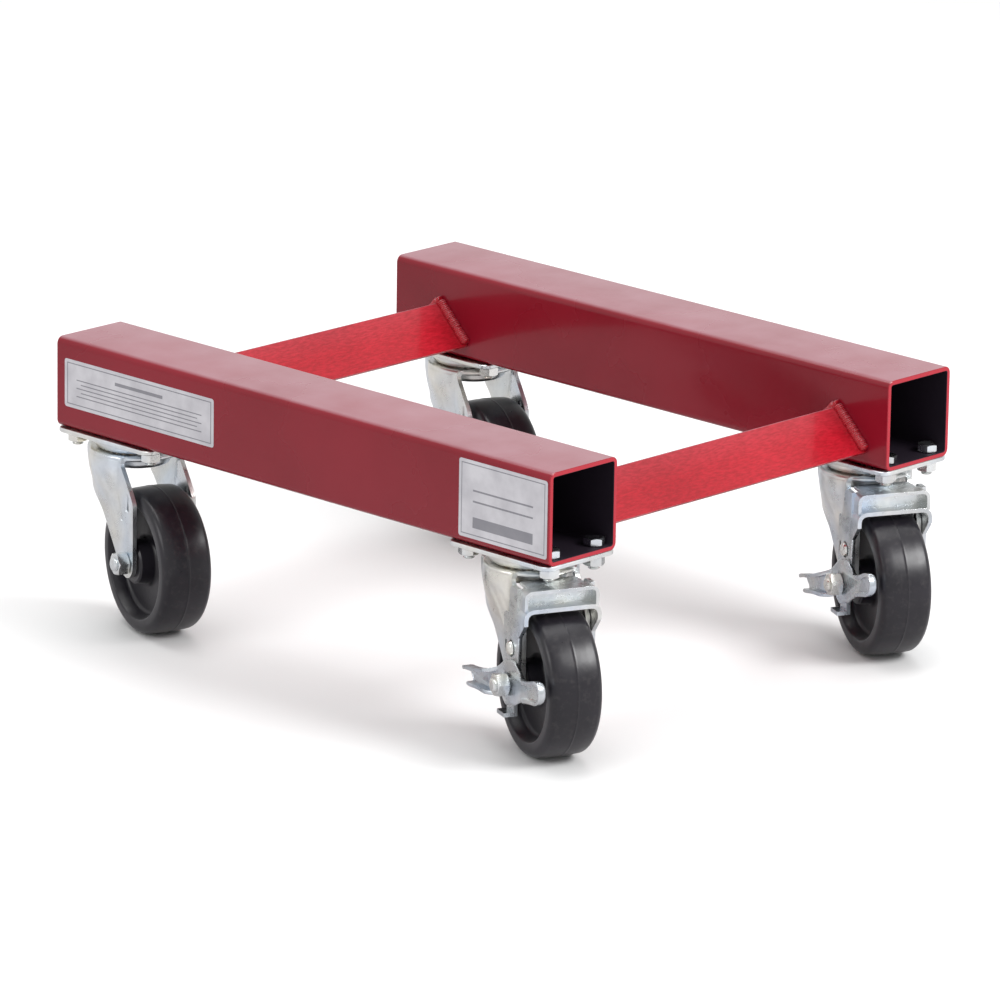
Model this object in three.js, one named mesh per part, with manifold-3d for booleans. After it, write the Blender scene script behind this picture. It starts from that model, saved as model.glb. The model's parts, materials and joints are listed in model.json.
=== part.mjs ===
// Low four-wheel dolly that carries one road tyre between two square-tube rails.
// Millimetres, +Z up, floor at z = 0, rails along Y, braked end at -Y.
import * as THREE from 'three';
import { mergeVertices } from 'three/addons/utils/BufferGeometryUtils.js';
import Module from 'manifold-3d';

const wasm = await Module();
wasm.setup();

// ---- driving dimensions -------------------------------------------------
// frame
const RAIL_LENGTH = 468;
const RAIL_SIZE = 63.5;
const RAIL_WALL = 3.2;
const RAIL_OUTER_R = 5;
const FRAME_WIDTH = 394;
const BAR_LEG = 38.1;
const BAR_THICK = 4.8;
const BAR_RIDGE_HEIGHT = 38;
const BAR_INSET = 45;
// casters
const WHEEL_DIA = 101.6;
const WHEEL_WIDTH = 37;
const WHEEL_HEADROOM = 31.9;
const SWIVEL_OFFSET = 34;
const SWIVEL_DIA = 64.3;
const PLATE_SIDE = 1.2;
const PLATE_END = 13.85;
const SHEET = 3;
const AXLE_DIA = 9.5;
const AXLE_FLATS = 14.3;
const NUT_THICK = 8.4;
const KINGPIN_DIA = 12;
const KINGPIN_HEAD_DIA = 22;
const BALL_DIA = 5.2;
// mounting bolts
const BOLT_DIA = 7.9;
const BOLT_FLATS = 12.7;
const BOLT_HEAD = 5.2;
const BOLT_NUT = 6.6;
const BOLT_END_MARGIN = 9.5;
// brake
const LEVER_SHEET = 2.6;
const RIVET_DIA = 6;
const RIVET_RISE = 24;
const TAB_DROP = 21;
// clearances
const GAP = 0.3;
const HOLE_PLAY = 0.4;
const WHEEL_PLAY = 2.4;
const SHOE_PLAY = 2.6;
const HEAD_PLAY = 1.2;

// ---- sizes that follow --------------------------------------------------
const CASTER_HEIGHT = WHEEL_DIA + WHEEL_HEADROOM;
const RAIL_INNER = RAIL_SIZE - 2 * RAIL_WALL;
const RAIL_INNER_R = RAIL_OUTER_R - RAIL_WALL;
const RAIL_X = (FRAME_WIDTH - RAIL_SIZE) / 2;
const BAR_SPAN = FRAME_WIDTH - 2 * RAIL_SIZE - 2 * GAP;
const BAR_Y = RAIL_LENGTH / 2 - BAR_INSET;
const PLATE_LENGTH = SWIVEL_DIA + 2 * PLATE_END;
const PLATE_WIDTH = SWIVEL_DIA + 2 * PLATE_SIDE;
const KINGPIN_Y = (RAIL_LENGTH - PLATE_LENGTH) / 2;
const PLATE_BOTTOM = -GAP - SHEET;
const BOLT_SPACING_X = RAIL_INNER - BOLT_FLATS - 2 * HEAD_PLAY;
const BOLT_SPACING_Y = PLATE_LENGTH - 2 * BOLT_END_MARGIN;
const BOLT_END = PLATE_BOTTOM - GAP - BOLT_NUT - 2.8;
const WHEEL_R = WHEEL_DIA / 2;
const AXLE_R = AXLE_DIA / 2;
const AXLE_Z = WHEEL_R - CASTER_HEIGHT;
const SLEEVE_R = AXLE_R + 3.4;
const CROWN_R = SWIVEL_DIA / 2;
const CROWN_TOP = PLATE_BOTTOM - 7.2;
const CROWN_BOTTOM = CROWN_TOP - SHEET - 0.6;
const CUP_R = CROWN_R - 8.15;
const CUP_BOTTOM = CROWN_BOTTOM - 7;
const RACE_R = CROWN_R - 9.65;
const BALL_R = BALL_DIA / 2;
const KINGPIN_R = KINGPIN_DIA / 2;
const KINGPIN_HEAD_R = KINGPIN_HEAD_DIA / 2;
const LEG_IN = WHEEL_WIDTH / 2 + WHEEL_PLAY;
const LEG_OUT = LEG_IN + SHEET;
const LEG_FRONT = SWIVEL_OFFSET + 10.5;
const LEG_SHOULDER = AXLE_Z + WHEEL_R - 1;
const RIVET_R = RIVET_DIA / 2;
const RIVET_Z = AXLE_Z + RIVET_RISE;
const TAB_Z = AXLE_Z - TAB_DROP;
const SHOE_BOTTOM = AXLE_Z + WHEEL_R + SHOE_PLAY - 0.8;
const SHOE_ROOF = BOLT_END - 2.5;
const ARM_EDGE = SWIVEL_OFFSET - 14;
const ARM_BULGE = Math.max(
  legBulge(ARM_EDGE, SHOE_BOTTOM - 6), legBulge(ARM_EDGE + 8, SHOE_ROOF),
);
const ARM_IN = LEG_OUT + GAP + ARM_BULGE;
const ARM_OUT = ARM_IN + SHEET - 0.2;
const LEVER_IN = ARM_OUT + GAP;
const LEVER_OUT = LEVER_IN + LEVER_SHEET;

// Each caster: place on the frame, trail direction in degrees, brake tilt.
const CASTERS = [
  { name: 'front_left', x: -RAIL_X, y: -KINGPIN_Y, yaw: 246, brake: 11 },
  { name: 'front_right', x: RAIL_X, y: -KINGPIN_Y, yaw: 243, brake: 16 },
  { name: 'rear_left', x: -RAIL_X, y: KINGPIN_Y, yaw: 252, brake: null },
  { name: 'rear_right', x: RAIL_X, y: KINGPIN_Y, yaw: 250, brake: null },
];

// ---- solids -------------------------------------------------------------
function solid(geometry) {
  const bare = geometry.clone();
  for (const key of Object.keys(bare.attributes)) {
    if (key !== 'position') bare.deleteAttribute(key);
  }
  const merged = mergeVertices(bare, 1e-4);
  const position = merged.attributes.position.array;
  const index = merged.index.array;
  const kept = [];
  let volume = 0;
  const a = new THREE.Vector3();
  const b = new THREE.Vector3();
  const c = new THREE.Vector3();
  for (let i = 0; i < index.length; i += 3) {
    const [p, q, r] = [index[i], index[i + 1], index[i + 2]];
    if (p === q || q === r || r === p) continue;
    kept.push(p, q, r);
    a.fromArray(position, p * 3);
    b.fromArray(position, q * 3);
    c.fromArray(position, r * 3);
    volume += a.dot(b.cross(c));
  }
  if (volume < 0) {
    for (let i = 0; i < kept.length; i += 3) {
      [kept[i], kept[i + 1]] = [kept[i + 1], kept[i]];
    }
  }
  const mesh = new wasm.Mesh({
    numProp: 3,
    vertProperties: new Float32Array(position),
    triVerts: new Uint32Array(kept),
  });
  return new wasm.Manifold(mesh);
}

function geometryOf(manifold) {
  const mesh = manifold.getMesh();
  const geometry = new THREE.BufferGeometry();
  geometry.setAttribute('position', new THREE.BufferAttribute(mesh.vertProperties, 3));
  geometry.setIndex(new THREE.BufferAttribute(mesh.triVerts, 1));
  const flat = geometry.toNonIndexed();
  flat.computeVertexNormals();
  return flat;
}

function union(parts) {
  return parts.reduce((sum, part) => sum.add(part));
}

function cut(body, tools) {
  return tools.reduce((rest, tool) => rest.subtract(tool), body);
}

function box(x0, x1, y0, y1, z0, z1) {
  const geometry = new THREE.BoxGeometry(x1 - x0, y1 - y0, z1 - z0);
  geometry.translate((x0 + x1) / 2, (y0 + y1) / 2, (z0 + z1) / 2);
  return solid(geometry);
}

// Round bar or hole along X, Y or Z between two coordinates.
function rod(axis, r, from, to, at, sides = 16) {
  const geometry = new THREE.CylinderGeometry(r, r, to - from, sides);
  if (axis === 'z') {
    geometry.rotateX(Math.PI / 2);
    geometry.translate(at[0], at[1], (from + to) / 2);
  } else {
    geometry.translate(at[0], (from + to) / 2, at[1]);
  }
  return solid(geometry);
}

// Closed or axis-to-axis profile of [radius, height] turned about Z.
function turnedZ(profile, sides) {
  const points = profile.map(([r, z]) => new THREE.Vector2(r, z));
  const geometry = new THREE.LatheGeometry(points, sides);
  geometry.rotateX(Math.PI / 2);
  return solid(geometry);
}

// The same, turned about the Y direction through a point in XZ.
function turnedY(profile, sides, x, z) {
  const points = profile.map(([r, y]) => new THREE.Vector2(r, y));
  const geometry = new THREE.LatheGeometry(points, sides, Math.PI / sides);
  geometry.translate(x, 0, z);
  return solid(geometry);
}

// Outline of [x, z] points, as thick as y0 to y1.
function slabY(points, y0, y1, holes = []) {
  const shape = new THREE.Shape(points.map(([x, z]) => new THREE.Vector2(x, z)));
  for (const hole of holes) {
    shape.holes.push(new THREE.Path(hole.map(([x, z]) => new THREE.Vector2(x, z))));
  }
  const geometry = new THREE.ExtrudeGeometry(shape, { depth: y1 - y0, bevelEnabled: false });
  geometry.rotateX(Math.PI / 2);
  geometry.translate(0, y1, 0);
  return solid(geometry);
}

// Outline of [x, y] points between two heights.
function slabZ(points, z0, z1) {
  const shape = new THREE.Shape(points.map(([x, y]) => new THREE.Vector2(x, y)));
  const geometry = new THREE.ExtrudeGeometry(shape, { depth: z1 - z0, bevelEnabled: false });
  geometry.translate(0, 0, z0);
  return solid(geometry);
}

function arc(cx, cz, r, from, to, steps) {
  const points = [];
  for (let i = 0; i <= steps; i += 1) {
    const a = THREE.MathUtils.degToRad(from + ((to - from) * i) / steps);
    points.push([cx + r * Math.cos(a), cz + r * Math.sin(a)]);
  }
  return points;
}

function roundedRect(x0, x1, z0, z1, r, steps = 3) {
  return [
    ...arc(x1 - r, z1 - r, r, 0, 90, steps),
    ...arc(x0 + r, z1 - r, r, 90, 180, steps),
    ...arc(x0 + r, z0 + r, r, 180, 270, steps),
    ...arc(x1 - r, z0 + r, r, 270, 360, steps),
  ];
}

// Upright slot with round ends, centred on x, z.
function slotY(x, z, r, reach, y0, y1) {
  const outline = [...arc(x, z + reach, r, 0, 180, 6), ...arc(x, z - reach, r, 180, 360, 6)];
  return slabY(outline, y0, y1);
}

// ---- scene --------------------------------------------------------------
const group = new THREE.Group();
group.name = 'wheel_dolly';

const COLOURS = {
  red_paint: [0x9c1a2b, 0.1, 0.35],
  zinc_steel: [0xb9bcc0, 0.9, 0.35],
  brake_zinc: [0x9aa2ae, 0.9, 0.4],
  bright_bolt: [0xd2d5d8, 0.95, 0.25],
  race_steel: [0x8c8478, 0.9, 0.35],
  wheel_black: [0x1d1a1f, 0.0, 0.5],
};

function addMesh(name, slot, manifold, place) {
  const geometry = geometryOf(manifold);
  if (place) {
    geometry.rotateZ(THREE.MathUtils.degToRad(place.yaw));
    geometry.translate(place.x, place.y, CASTER_HEIGHT);
  }
  const [color, metalness, roughness] = COLOURS[slot];
  const material = new THREE.MeshStandardMaterial({ color, metalness, roughness });
  material.name = slot;
  const mesh = new THREE.Mesh(geometry, material);
  mesh.name = name;
  group.add(mesh);
}

// ---- frame --------------------------------------------------------------
// Bolt places over one caster plate, from the kingpin.
const BOLT_PLACES = [];
for (const sx of [-1, 1]) {
  for (const sy of [-1, 1]) {
    BOLT_PLACES.push([(sx * BOLT_SPACING_X) / 2, (sy * BOLT_SPACING_Y) / 2]);
  }
}

function rail(x) {
  const half = RAIL_SIZE / 2;
  const inner = RAIL_INNER / 2;
  const z0 = CASTER_HEIGHT;
  const outside = roundedRect(x - half, x + half, z0, z0 + RAIL_SIZE, RAIL_OUTER_R, 4);
  const inside = roundedRect(
    x - inner, x + inner, z0 + RAIL_WALL, z0 + RAIL_SIZE - RAIL_WALL, RAIL_INNER_R, 2,
  );
  const tube = slabY(outside, -RAIL_LENGTH / 2, RAIL_LENGTH / 2, [inside]);
  const holes = [];
  for (const ky of [-KINGPIN_Y, KINGPIN_Y]) {
    for (const [bx, by] of BOLT_PLACES) {
      const r = BOLT_DIA / 2 + HOLE_PLAY;
      holes.push(rod('z', r, z0 - 2, z0 + RAIL_WALL + 2, [x + bx, ky + by], 10));
    }
  }
  return cut(tube, holes);
}

addMesh('left_rail', 'red_paint', rail(-RAIL_X));
addMesh('right_rail', 'red_paint', rail(RAIL_X));

// Rolled angle, ridge up, its two legs sloping down to front and back.
function crossbar(y) {
  const s = Math.SQRT1_2;
  const top = CASTER_HEIGHT + BAR_RIDGE_HEIGHT;
  const along = (u, w, side) => [side * (u * s - w * s), -u * s - w * s];
  const half = (side) => {
    const points = [along(0, 0, side)];
    points.push(along(BAR_LEG, 0, side));
    points.push(along(BAR_LEG, BAR_THICK - 1.6, side));
    points.push(along(BAR_LEG - 1.6, BAR_THICK, side));
    points.push(along(BAR_THICK + 3.4, BAR_THICK, side));
    points.push(along(BAR_THICK + 1, BAR_THICK + 1, side));
    return points;
  };
  const right = half(1);
  const left = half(-1).slice(1, 5).reverse();
  const outline = [...right, ...left].map(([v, z]) => [v + y, z + top]);
  const shape = new THREE.Shape(outline.map(([v, z]) => new THREE.Vector2(v, z)));
  const geometry = new THREE.ExtrudeGeometry(shape, { depth: BAR_SPAN, bevelEnabled: false });
  geometry.rotateX(Math.PI / 2);
  geometry.rotateZ(Math.PI / 2);
  geometry.translate(-BAR_SPAN / 2, 0, 0);
  return solid(geometry);
}

addMesh('front_crossbar', 'red_paint', crossbar(-BAR_Y));
addMesh('rear_crossbar', 'red_paint', crossbar(BAR_Y));

// ---- caster pieces, in the caster's own frame ---------------------------
// Kingpin at the origin, z = 0 at the underside of the rail, wheel trails +X.

// Mounting plate with a pressed round boss that carries the upper ball race.
function topPlate() {
  const plate = slabZ(
    roundedRect(-PLATE_WIDTH / 2, PLATE_WIDTH / 2, -PLATE_LENGTH / 2, PLATE_LENGTH / 2, 7),
    PLATE_BOTTOM, -GAP,
  );
  const floor = CROWN_TOP + GAP + 0.5;
  const boss = turnedZ([
    [KINGPIN_R + 1, PLATE_BOTTOM + 1],
    [KINGPIN_R + 1, floor],
    [CROWN_R - 4, floor],
    [CROWN_R - 2.4, floor + 1.6],
    [CROWN_R - 2, PLATE_BOTTOM + 1],
    [KINGPIN_R + 1, PLATE_BOTTOM + 1],
  ], 20);
  const race = torus(RACE_R, BALL_R + GAP, CROWN_TOP);
  const holes = BOLT_PLACES.map((at) => (
    rod('z', BOLT_DIA / 2 + HOLE_PLAY, PLATE_BOTTOM - 2, 2, at, 10)
  ));
  const pinHole = rod('z', KINGPIN_R + GAP, CROWN_TOP - 5, 2, [0, 0], 16);
  const sink = rod('z', KINGPIN_HEAD_R + GAP, -GAP - 2, 2, [0, 0], 16);
  return cut(plate.add(boss), [race, pinHole, sink, ...holes]);
}

// Ring of round section lying flat at height z.
function torus(radius, tube, z) {
  const geometry = new THREE.TorusGeometry(radius, tube, 6, 20);
  geometry.translate(0, 0, z);
  return solid(geometry);
}

// Riveted post the fork turns on: flush top head, shank, round lower head.
function kingpin() {
  const lower = CUP_BOTTOM - GAP;
  return turnedZ([
    [0, -GAP - 0.2],
    [KINGPIN_HEAD_R, -GAP - 0.2],
    [KINGPIN_HEAD_R, -GAP - 1.7],
    [KINGPIN_R, -GAP - 1.7],
    [KINGPIN_R, lower],
    [KINGPIN_HEAD_R + 1, lower],
    [KINGPIN_HEAD_R, lower - 2.6],
    [KINGPIN_R, lower - 4],
    [0, lower - 4],
  ], 16);
}

// How far the fork's side wall bulges past the flat leg, at x and height z.
function legBulge(x, z) {
  const round = Math.sqrt(Math.max(0, (CROWN_R - SHEET) ** 2 - x * x)) - LEG_IN;
  const down = THREE.MathUtils.smoothstep((CROWN_BOTTOM - z) / (CROWN_BOTTOM - AXLE_Z), 0.09, 0.67);
  return Math.max(0, round) * (1 - down);
}

// One pressed leg, side +1 or -1, wrapping the crown and narrowing to the axle.
function leg(side) {
  const down = (share) => CROWN_BOTTOM - share * (CROWN_BOTTOM - AXLE_Z);
  const shares = [-1.06, -0.87, -0.65, -0.4, -0.12, 0.19, 0.47];
  const xs = [
    ...shares.map((share) => share * CROWN_R), ARM_EDGE, ARM_EDGE + 8, SWIVEL_OFFSET + 14,
  ];
  const zs = [CROWN_BOTTOM + 1.4, ...[0.09, 0.19, 0.3, 0.44, 0.58, 0.76].map(down), AXLE_Z - 14];
  const rows = zs.length;
  const cols = xs.length;
  const positions = [];
  for (const skin of [0, SHEET]) {
    for (const z of zs) {
      for (const x of xs) {
        positions.push(x, side * (LEG_IN + legBulge(x, z) + skin), z);
      }
    }
  }
  const at = (skin, row, col) => skin * rows * cols + row * cols + col;
  const index = [];
  const quad = (p, q, r, t) => index.push(p, q, r, p, r, t);
  for (let row = 0; row < rows - 1; row += 1) {
    for (let col = 0; col < cols - 1; col += 1) {
      quad(at(0, row, col), at(0, row, col + 1), at(0, row + 1, col + 1), at(0, row + 1, col));
      quad(at(1, row, col), at(1, row + 1, col), at(1, row + 1, col + 1), at(1, row, col + 1));
    }
  }
  for (let col = 0; col < cols - 1; col += 1) {
    quad(at(0, 0, col), at(1, 0, col), at(1, 0, col + 1), at(0, 0, col + 1));
    const end = rows - 1;
    quad(at(0, end, col), at(0, end, col + 1), at(1, end, col + 1), at(1, end, col));
  }
  for (let row = 0; row < rows - 1; row += 1) {
    quad(at(0, row, 0), at(0, row + 1, 0), at(1, row + 1, 0), at(1, row, 0));
    const end = cols - 1;
    quad(at(0, row, end), at(1, row, end), at(1, row + 1, end), at(0, row + 1, end));
  }
  const geometry = new THREE.BufferGeometry();
  geometry.setAttribute('position', new THREE.Float32BufferAttribute(positions, 3));
  geometry.setIndex(index);
  const outline = [
    [0.72 * CROWN_R, CROWN_BOTTOM + 3],
    [0.76 * CROWN_R, CROWN_BOTTOM - 2],
    [LEG_FRONT - 4.5, LEG_SHOULDER],
    [LEG_FRONT, LEG_SHOULDER - 6],
    ...arc(SWIVEL_OFFSET, AXLE_Z, 10.5, 0, -135, 8),
    [-0.12 * CROWN_R, down(0.58)],
    [-0.53 * CROWN_R, down(0.39)],
    [-0.78 * CROWN_R, down(0.23)],
    [-0.89 * CROWN_R, down(0.09)],
    [-0.89 * CROWN_R, CROWN_BOTTOM + 3],
  ];
  const wide = CROWN_R + LEVER_OUT;
  const trim = slabY(outline, side > 0 ? 5 : -wide, side > 0 ? wide : -5);
  return solid(geometry).intersect(trim);
}

// Swivel fork: round crown with the lower ball race, cup below it, two legs.
function fork(braked) {
  const crown = turnedZ([
    [KINGPIN_R + HOLE_PLAY, CROWN_TOP],
    [CROWN_R - 1.2, CROWN_TOP],
    [CROWN_R, CROWN_TOP - 1.2],
    [CROWN_R, CROWN_BOTTOM + 0.4],
    [CROWN_R - 1.6, CROWN_BOTTOM],
    [CUP_R, CROWN_BOTTOM],
    [CUP_R - 2, CUP_BOTTOM + 1],
    [CUP_R - 4, CUP_BOTTOM],
    [KINGPIN_R + HOLE_PLAY, CUP_BOTTOM],
    [KINGPIN_R + HOLE_PLAY, CROWN_TOP],
  ], 20);
  const race = torus(RACE_R, BALL_R + HOLE_PLAY, CROWN_TOP);
  const body = cut(union([crown, leg(1), leg(-1)]), [race]);
  const wide = CROWN_R + LEVER_OUT;
  const axle = rod('y', AXLE_R + HOLE_PLAY, -wide, wide, [SWIVEL_OFFSET, AXLE_Z], 16);
  const slotZ = LEG_SHOULDER - 6.8;
  const slot = slabY([
    [SWIVEL_OFFSET - 0.5, slotZ - 6],
    [SWIVEL_OFFSET + 3.6, slotZ - 6],
    [SWIVEL_OFFSET + 2.4, slotZ + 6],
    [SWIVEL_OFFSET + 1, slotZ + 6],
  ], -wide, wide);
  const tools = [axle, slot];
  if (braked) tools.push(rod('y', RIVET_R + GAP, -wide, 0, [SWIVEL_OFFSET, RIVET_Z], 12));
  return cut(body, tools);
}

// Hex head bolt along Y: head at +Y, threaded end out past the nut at -Y.
function hexAlongY(acrossFlats, y0, y1, turn) {
  const geometry = new THREE.CylinderGeometry(
    acrossFlats / Math.sqrt(3), acrossFlats / Math.sqrt(3), y1 - y0, 6,
  );
  geometry.rotateY(turn);
  geometry.translate(SWIVEL_OFFSET, (y0 + y1) / 2, AXLE_Z);
  return solid(geometry);
}

function axleBolt(outer, nutSeat) {
  const head = hexAlongY(AXLE_FLATS, outer + GAP, outer + GAP + 5.4, 0.2);
  const end = -(nutSeat + NUT_THICK + 2);
  const shank = turnedY([
    [0, outer + 1],
    [AXLE_R, outer + 1],
    [AXLE_R, end + 1],
    [AXLE_R - 1, end],
    [0, end],
  ], 16, SWIVEL_OFFSET, AXLE_Z);
  return head.add(shank);
}

function axleNut(nutSeat) {
  const nut = hexAlongY(AXLE_FLATS, -(nutSeat + NUT_THICK), -nutSeat, 0.35);
  const hole = rod('y', AXLE_R + GAP, -nutSeat - NUT_THICK - 2, 0, [SWIVEL_OFFSET, AXLE_Z], 16);
  return cut(nut, [hole]);
}

// Steel sleeve on the axle; the wheel turns on it.
function axleSleeve() {
  const half = LEG_IN - GAP;
  return turnedY([
    [AXLE_R + GAP, -half],
    [SLEEVE_R, -half],
    [SLEEVE_R, half],
    [AXLE_R + GAP, half],
    [AXLE_R + GAP, -half],
  ], 16, SWIVEL_OFFSET, AXLE_Z);
}

// One-piece wheel: crowned tread, round shoulders, dished sides, long hub.
// The tread's flats, not its corners, lie at the wheel's radius.
function wheel() {
  const sides = 26;
  const half = WHEEL_WIDTH / 2;
  const hub = LEG_IN - 1.2;
  const side = [
    [SLEEVE_R + GAP, hub],
    [15.5, hub],
    [16.5, 6.5],
    [WHEEL_R - 13, 6.5],
    [WHEEL_R - 11, half - 1],
    [WHEEL_R - 5, half],
    [WHEEL_R - 0.9, half - 4],
  ];
  const profile = [
    ...side,
    [WHEEL_R / Math.cos(Math.PI / sides), 0],
    ...side.map(([r, y]) => [r, -y]).reverse(),
    side[0],
  ];
  return turnedY(profile, sides, SWIVEL_OFFSET, AXLE_Z);
}

// ---- brake pieces -------------------------------------------------------
// Saddle: strap over the tread, with a tray-shaped back and an arm down each side.
function saddle() {
  const thick = ARM_OUT - ARM_IN;
  const back = LEG_FRONT - 2;
  const front = back + 13.5;
  const outline = [
    [front, SHOE_BOTTOM - 5],
    [front - 2, SHOE_BOTTOM - 10],
    [LEG_FRONT + 1.5, SHOE_BOTTOM - 18.6],
    [LEG_FRONT + 0.5, AXLE_Z + 4],
    ...arc(SWIVEL_OFFSET, AXLE_Z, 11.5, 0, -60, 3),
    [SWIVEL_OFFSET + 6, TAB_Z],
    [SWIVEL_OFFSET - 6, TAB_Z],
    ...arc(SWIVEL_OFFSET, AXLE_Z, 11.5, -120, -180, 3),
    [ARM_EDGE + 1, RIVET_Z - 7],
    ...arc(ARM_EDGE + 5, SHOE_BOTTOM - 9.5, 4, 180, 90, 3),
    [SWIVEL_OFFSET - 4.5, SHOE_BOTTOM - 5],
    ...arc(SWIVEL_OFFSET + 1, SHOE_ROOF - 5, 4.5, 180, 90, 3),
    [back + 1, SHOE_ROOF - 0.5],
    [back + 1, SHOE_BOTTOM - 5],
  ];
  const arms = [slabY(outline, ARM_IN, ARM_OUT), slabY(outline, -ARM_OUT, -ARM_IN)];
  const strapTop = SHOE_BOTTOM + thick;
  const strap = cut(
    bridge(ARM_OUT, SHOE_BOTTOM - 8, strapTop, 6.5, back, front),
    [bridge(ARM_IN, SHOE_BOTTOM - 9, SHOE_BOTTOM, 4, back - 1, front + 1)],
  );
  const rim = thick * 0.8;
  const tray = cut(
    bridge(ARM_OUT - 1, SHOE_BOTTOM + 1, SHOE_ROOF, 5, back, front - 2),
    [bridge(ARM_OUT - 1 - rim, SHOE_BOTTOM + rim, SHOE_ROOF - rim, 3, back + rim, front)],
  );
  const tab = box(
    SWIVEL_OFFSET - 6, SWIVEL_OFFSET + 6, -LEVER_OUT - 4, -ARM_IN, TAB_Z, TAB_Z + thick,
  );
  const wide = LEVER_OUT + 20;
  const axleSlots = slotY(SWIVEL_OFFSET, AXLE_Z, AXLE_R + GAP, SHOE_PLAY, -wide, wide);
  const rivetSlot = slotY(SWIVEL_OFFSET, RIVET_Z, RIVET_R + GAP, SHOE_PLAY, -wide, 0);
  const window = slotY(SWIVEL_OFFSET - 9, RIVET_Z, 1.4, 2.6, -wide, wide);
  const tread = rod(
    'y', WHEEL_R + SHOE_PLAY, -LEG_IN, LEG_IN, [SWIVEL_OFFSET, AXLE_Z], 48,
  );
  return cut(union([...arms, strap, tray, tab]), [axleSlots, rivetSlot, window, tread]);
}

// Inverted U block with rounded top corners, from x0 to x1.
function bridge(halfWidth, z0, z1, r, x0, x1) {
  const outline = [
    [halfWidth, z0],
    ...arc(halfWidth - r, z1 - r, r, 0, 90, 3),
    ...arc(-halfWidth + r, z1 - r, r, 90, 180, 3),
    [-halfWidth, z0],
  ];
  const shape = new THREE.Shape(outline.map(([y, z]) => new THREE.Vector2(y, z)));
  const geometry = new THREE.ExtrudeGeometry(shape, { depth: x1 - x0, bevelEnabled: false });
  geometry.rotateX(Math.PI / 2);
  geometry.rotateZ(Math.PI / 2);
  geometry.translate(x0, 0, 0);
  return solid(geometry);
}

// Rivet in the leg that the saddle's arm slides on.
function brakeRivet() {
  return turnedY([
    [0, -LEG_IN + GAP + 1.4],
    [4.6, -LEG_IN + GAP + 1.4],
    [4.6, -LEG_IN + GAP],
    [RIVET_R, -LEG_IN + GAP],
    [RIVET_R, -ARM_OUT - GAP],
    [5.2, -ARM_OUT - GAP],
    [4.4, -ARM_OUT - GAP - 1.7],
    [2.2, -ARM_OUT - GAP - 2.6],
    [0, -ARM_OUT - GAP - 2.6],
  ], 14, SWIVEL_OFFSET, RIVET_Z);
}

// Straight flange on edge, from one [x, z] point to the next, outward to y0.
function flange(from, to, y0, thick) {
  const dx = to[0] - from[0];
  const dz = to[1] - from[1];
  const length = Math.hypot(dx, dz);
  const nx = (-dz / length) * thick;
  const nz = (dx / length) * thick;
  const outline = [from, to, [to[0] + nx, to[1] + nz], [from[0] + nx, from[1] + nz]];
  return slabY(outline, y0, -LEVER_IN);
}

// Foot lever on the axle: round hub, long channel pedal one way, tray the other.
function lever(tilt) {
  const outline = [
    [-57, -4.5],
    [-15, -9.5],
    [-10.5, -6],
    [-8.5, -11],
    [-3, -14.5],
    [3, -13.2],
    [7, -12.6],
    [12.5, -13.4],
    [19, -11],
    [26, -10.5],
    [60, -8],
    [64.5, -5],
    [66, 0],
    [64.5, 4.4],
    [60, 7],
    [28, 5.5],
    [17, 15.5],
    [9, 17],
    [1, 16.5],
    [-8, 12.5],
    [-16, 9.5],
    [-57, 6],
  ];
  const plate = slabY(outline, -LEVER_OUT, -LEVER_IN);
  const deep = -LEVER_OUT - 9;
  const rim = -LEVER_OUT - 3;
  const parts = [
    plate,
    flange([-16, 7.2], [-66, 3.6], deep - 4, LEVER_SHEET * -0.8),
    flange([-15, -7.2], [-60, -2.6], deep - 2, LEVER_SHEET * 0.8),
    flange([28, 3.2], [60, 4.8], rim, LEVER_SHEET * 0.8),
    flange([26, -10.3], [60, -7.9], rim, LEVER_SHEET * 0.8),
    flange([66, 0], [60, -8], rim, -LEVER_SHEET * 0.7),
    flange([66, -0.2], [60, 7.1], rim, LEVER_SHEET * 0.7),
  ];
  const hole = rod('y', AXLE_R + GAP, -LEVER_OUT - 20, 0, [0, 0], 16);
  const body = geometryOf(cut(union(parts), [hole]));
  body.rotateY(THREE.MathUtils.degToRad(-tilt));
  body.translate(SWIVEL_OFFSET, 0, AXLE_Z);
  return solid(body);
}

// Mounting bolt with its nut run up: head in the tube, nut under the plate.
function mountBolt(x, y) {
  const r = BOLT_DIA / 2;
  const hex = (z0, z1) => {
    const across = BOLT_FLATS / Math.sqrt(3);
    const geometry = new THREE.CylinderGeometry(across, across, z1 - z0, 6);
    geometry.rotateX(Math.PI / 2);
    geometry.translate(0, 0, (z0 + z1) / 2);
    return solid(geometry);
  };
  const seat = RAIL_WALL + GAP;
  const under = PLATE_BOTTOM - GAP;
  const shank = turnedZ([
    [0, seat + 1],
    [r, seat + 1],
    [r, BOLT_END + 0.8],
    [r - 0.9, BOLT_END],
    [0, BOLT_END],
  ], 8);
  const body = geometryOf(union([hex(seat, seat + BOLT_HEAD), shank, hex(under - BOLT_NUT, under)]));
  body.translate(x, y, 0);
  return solid(body);
}

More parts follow.
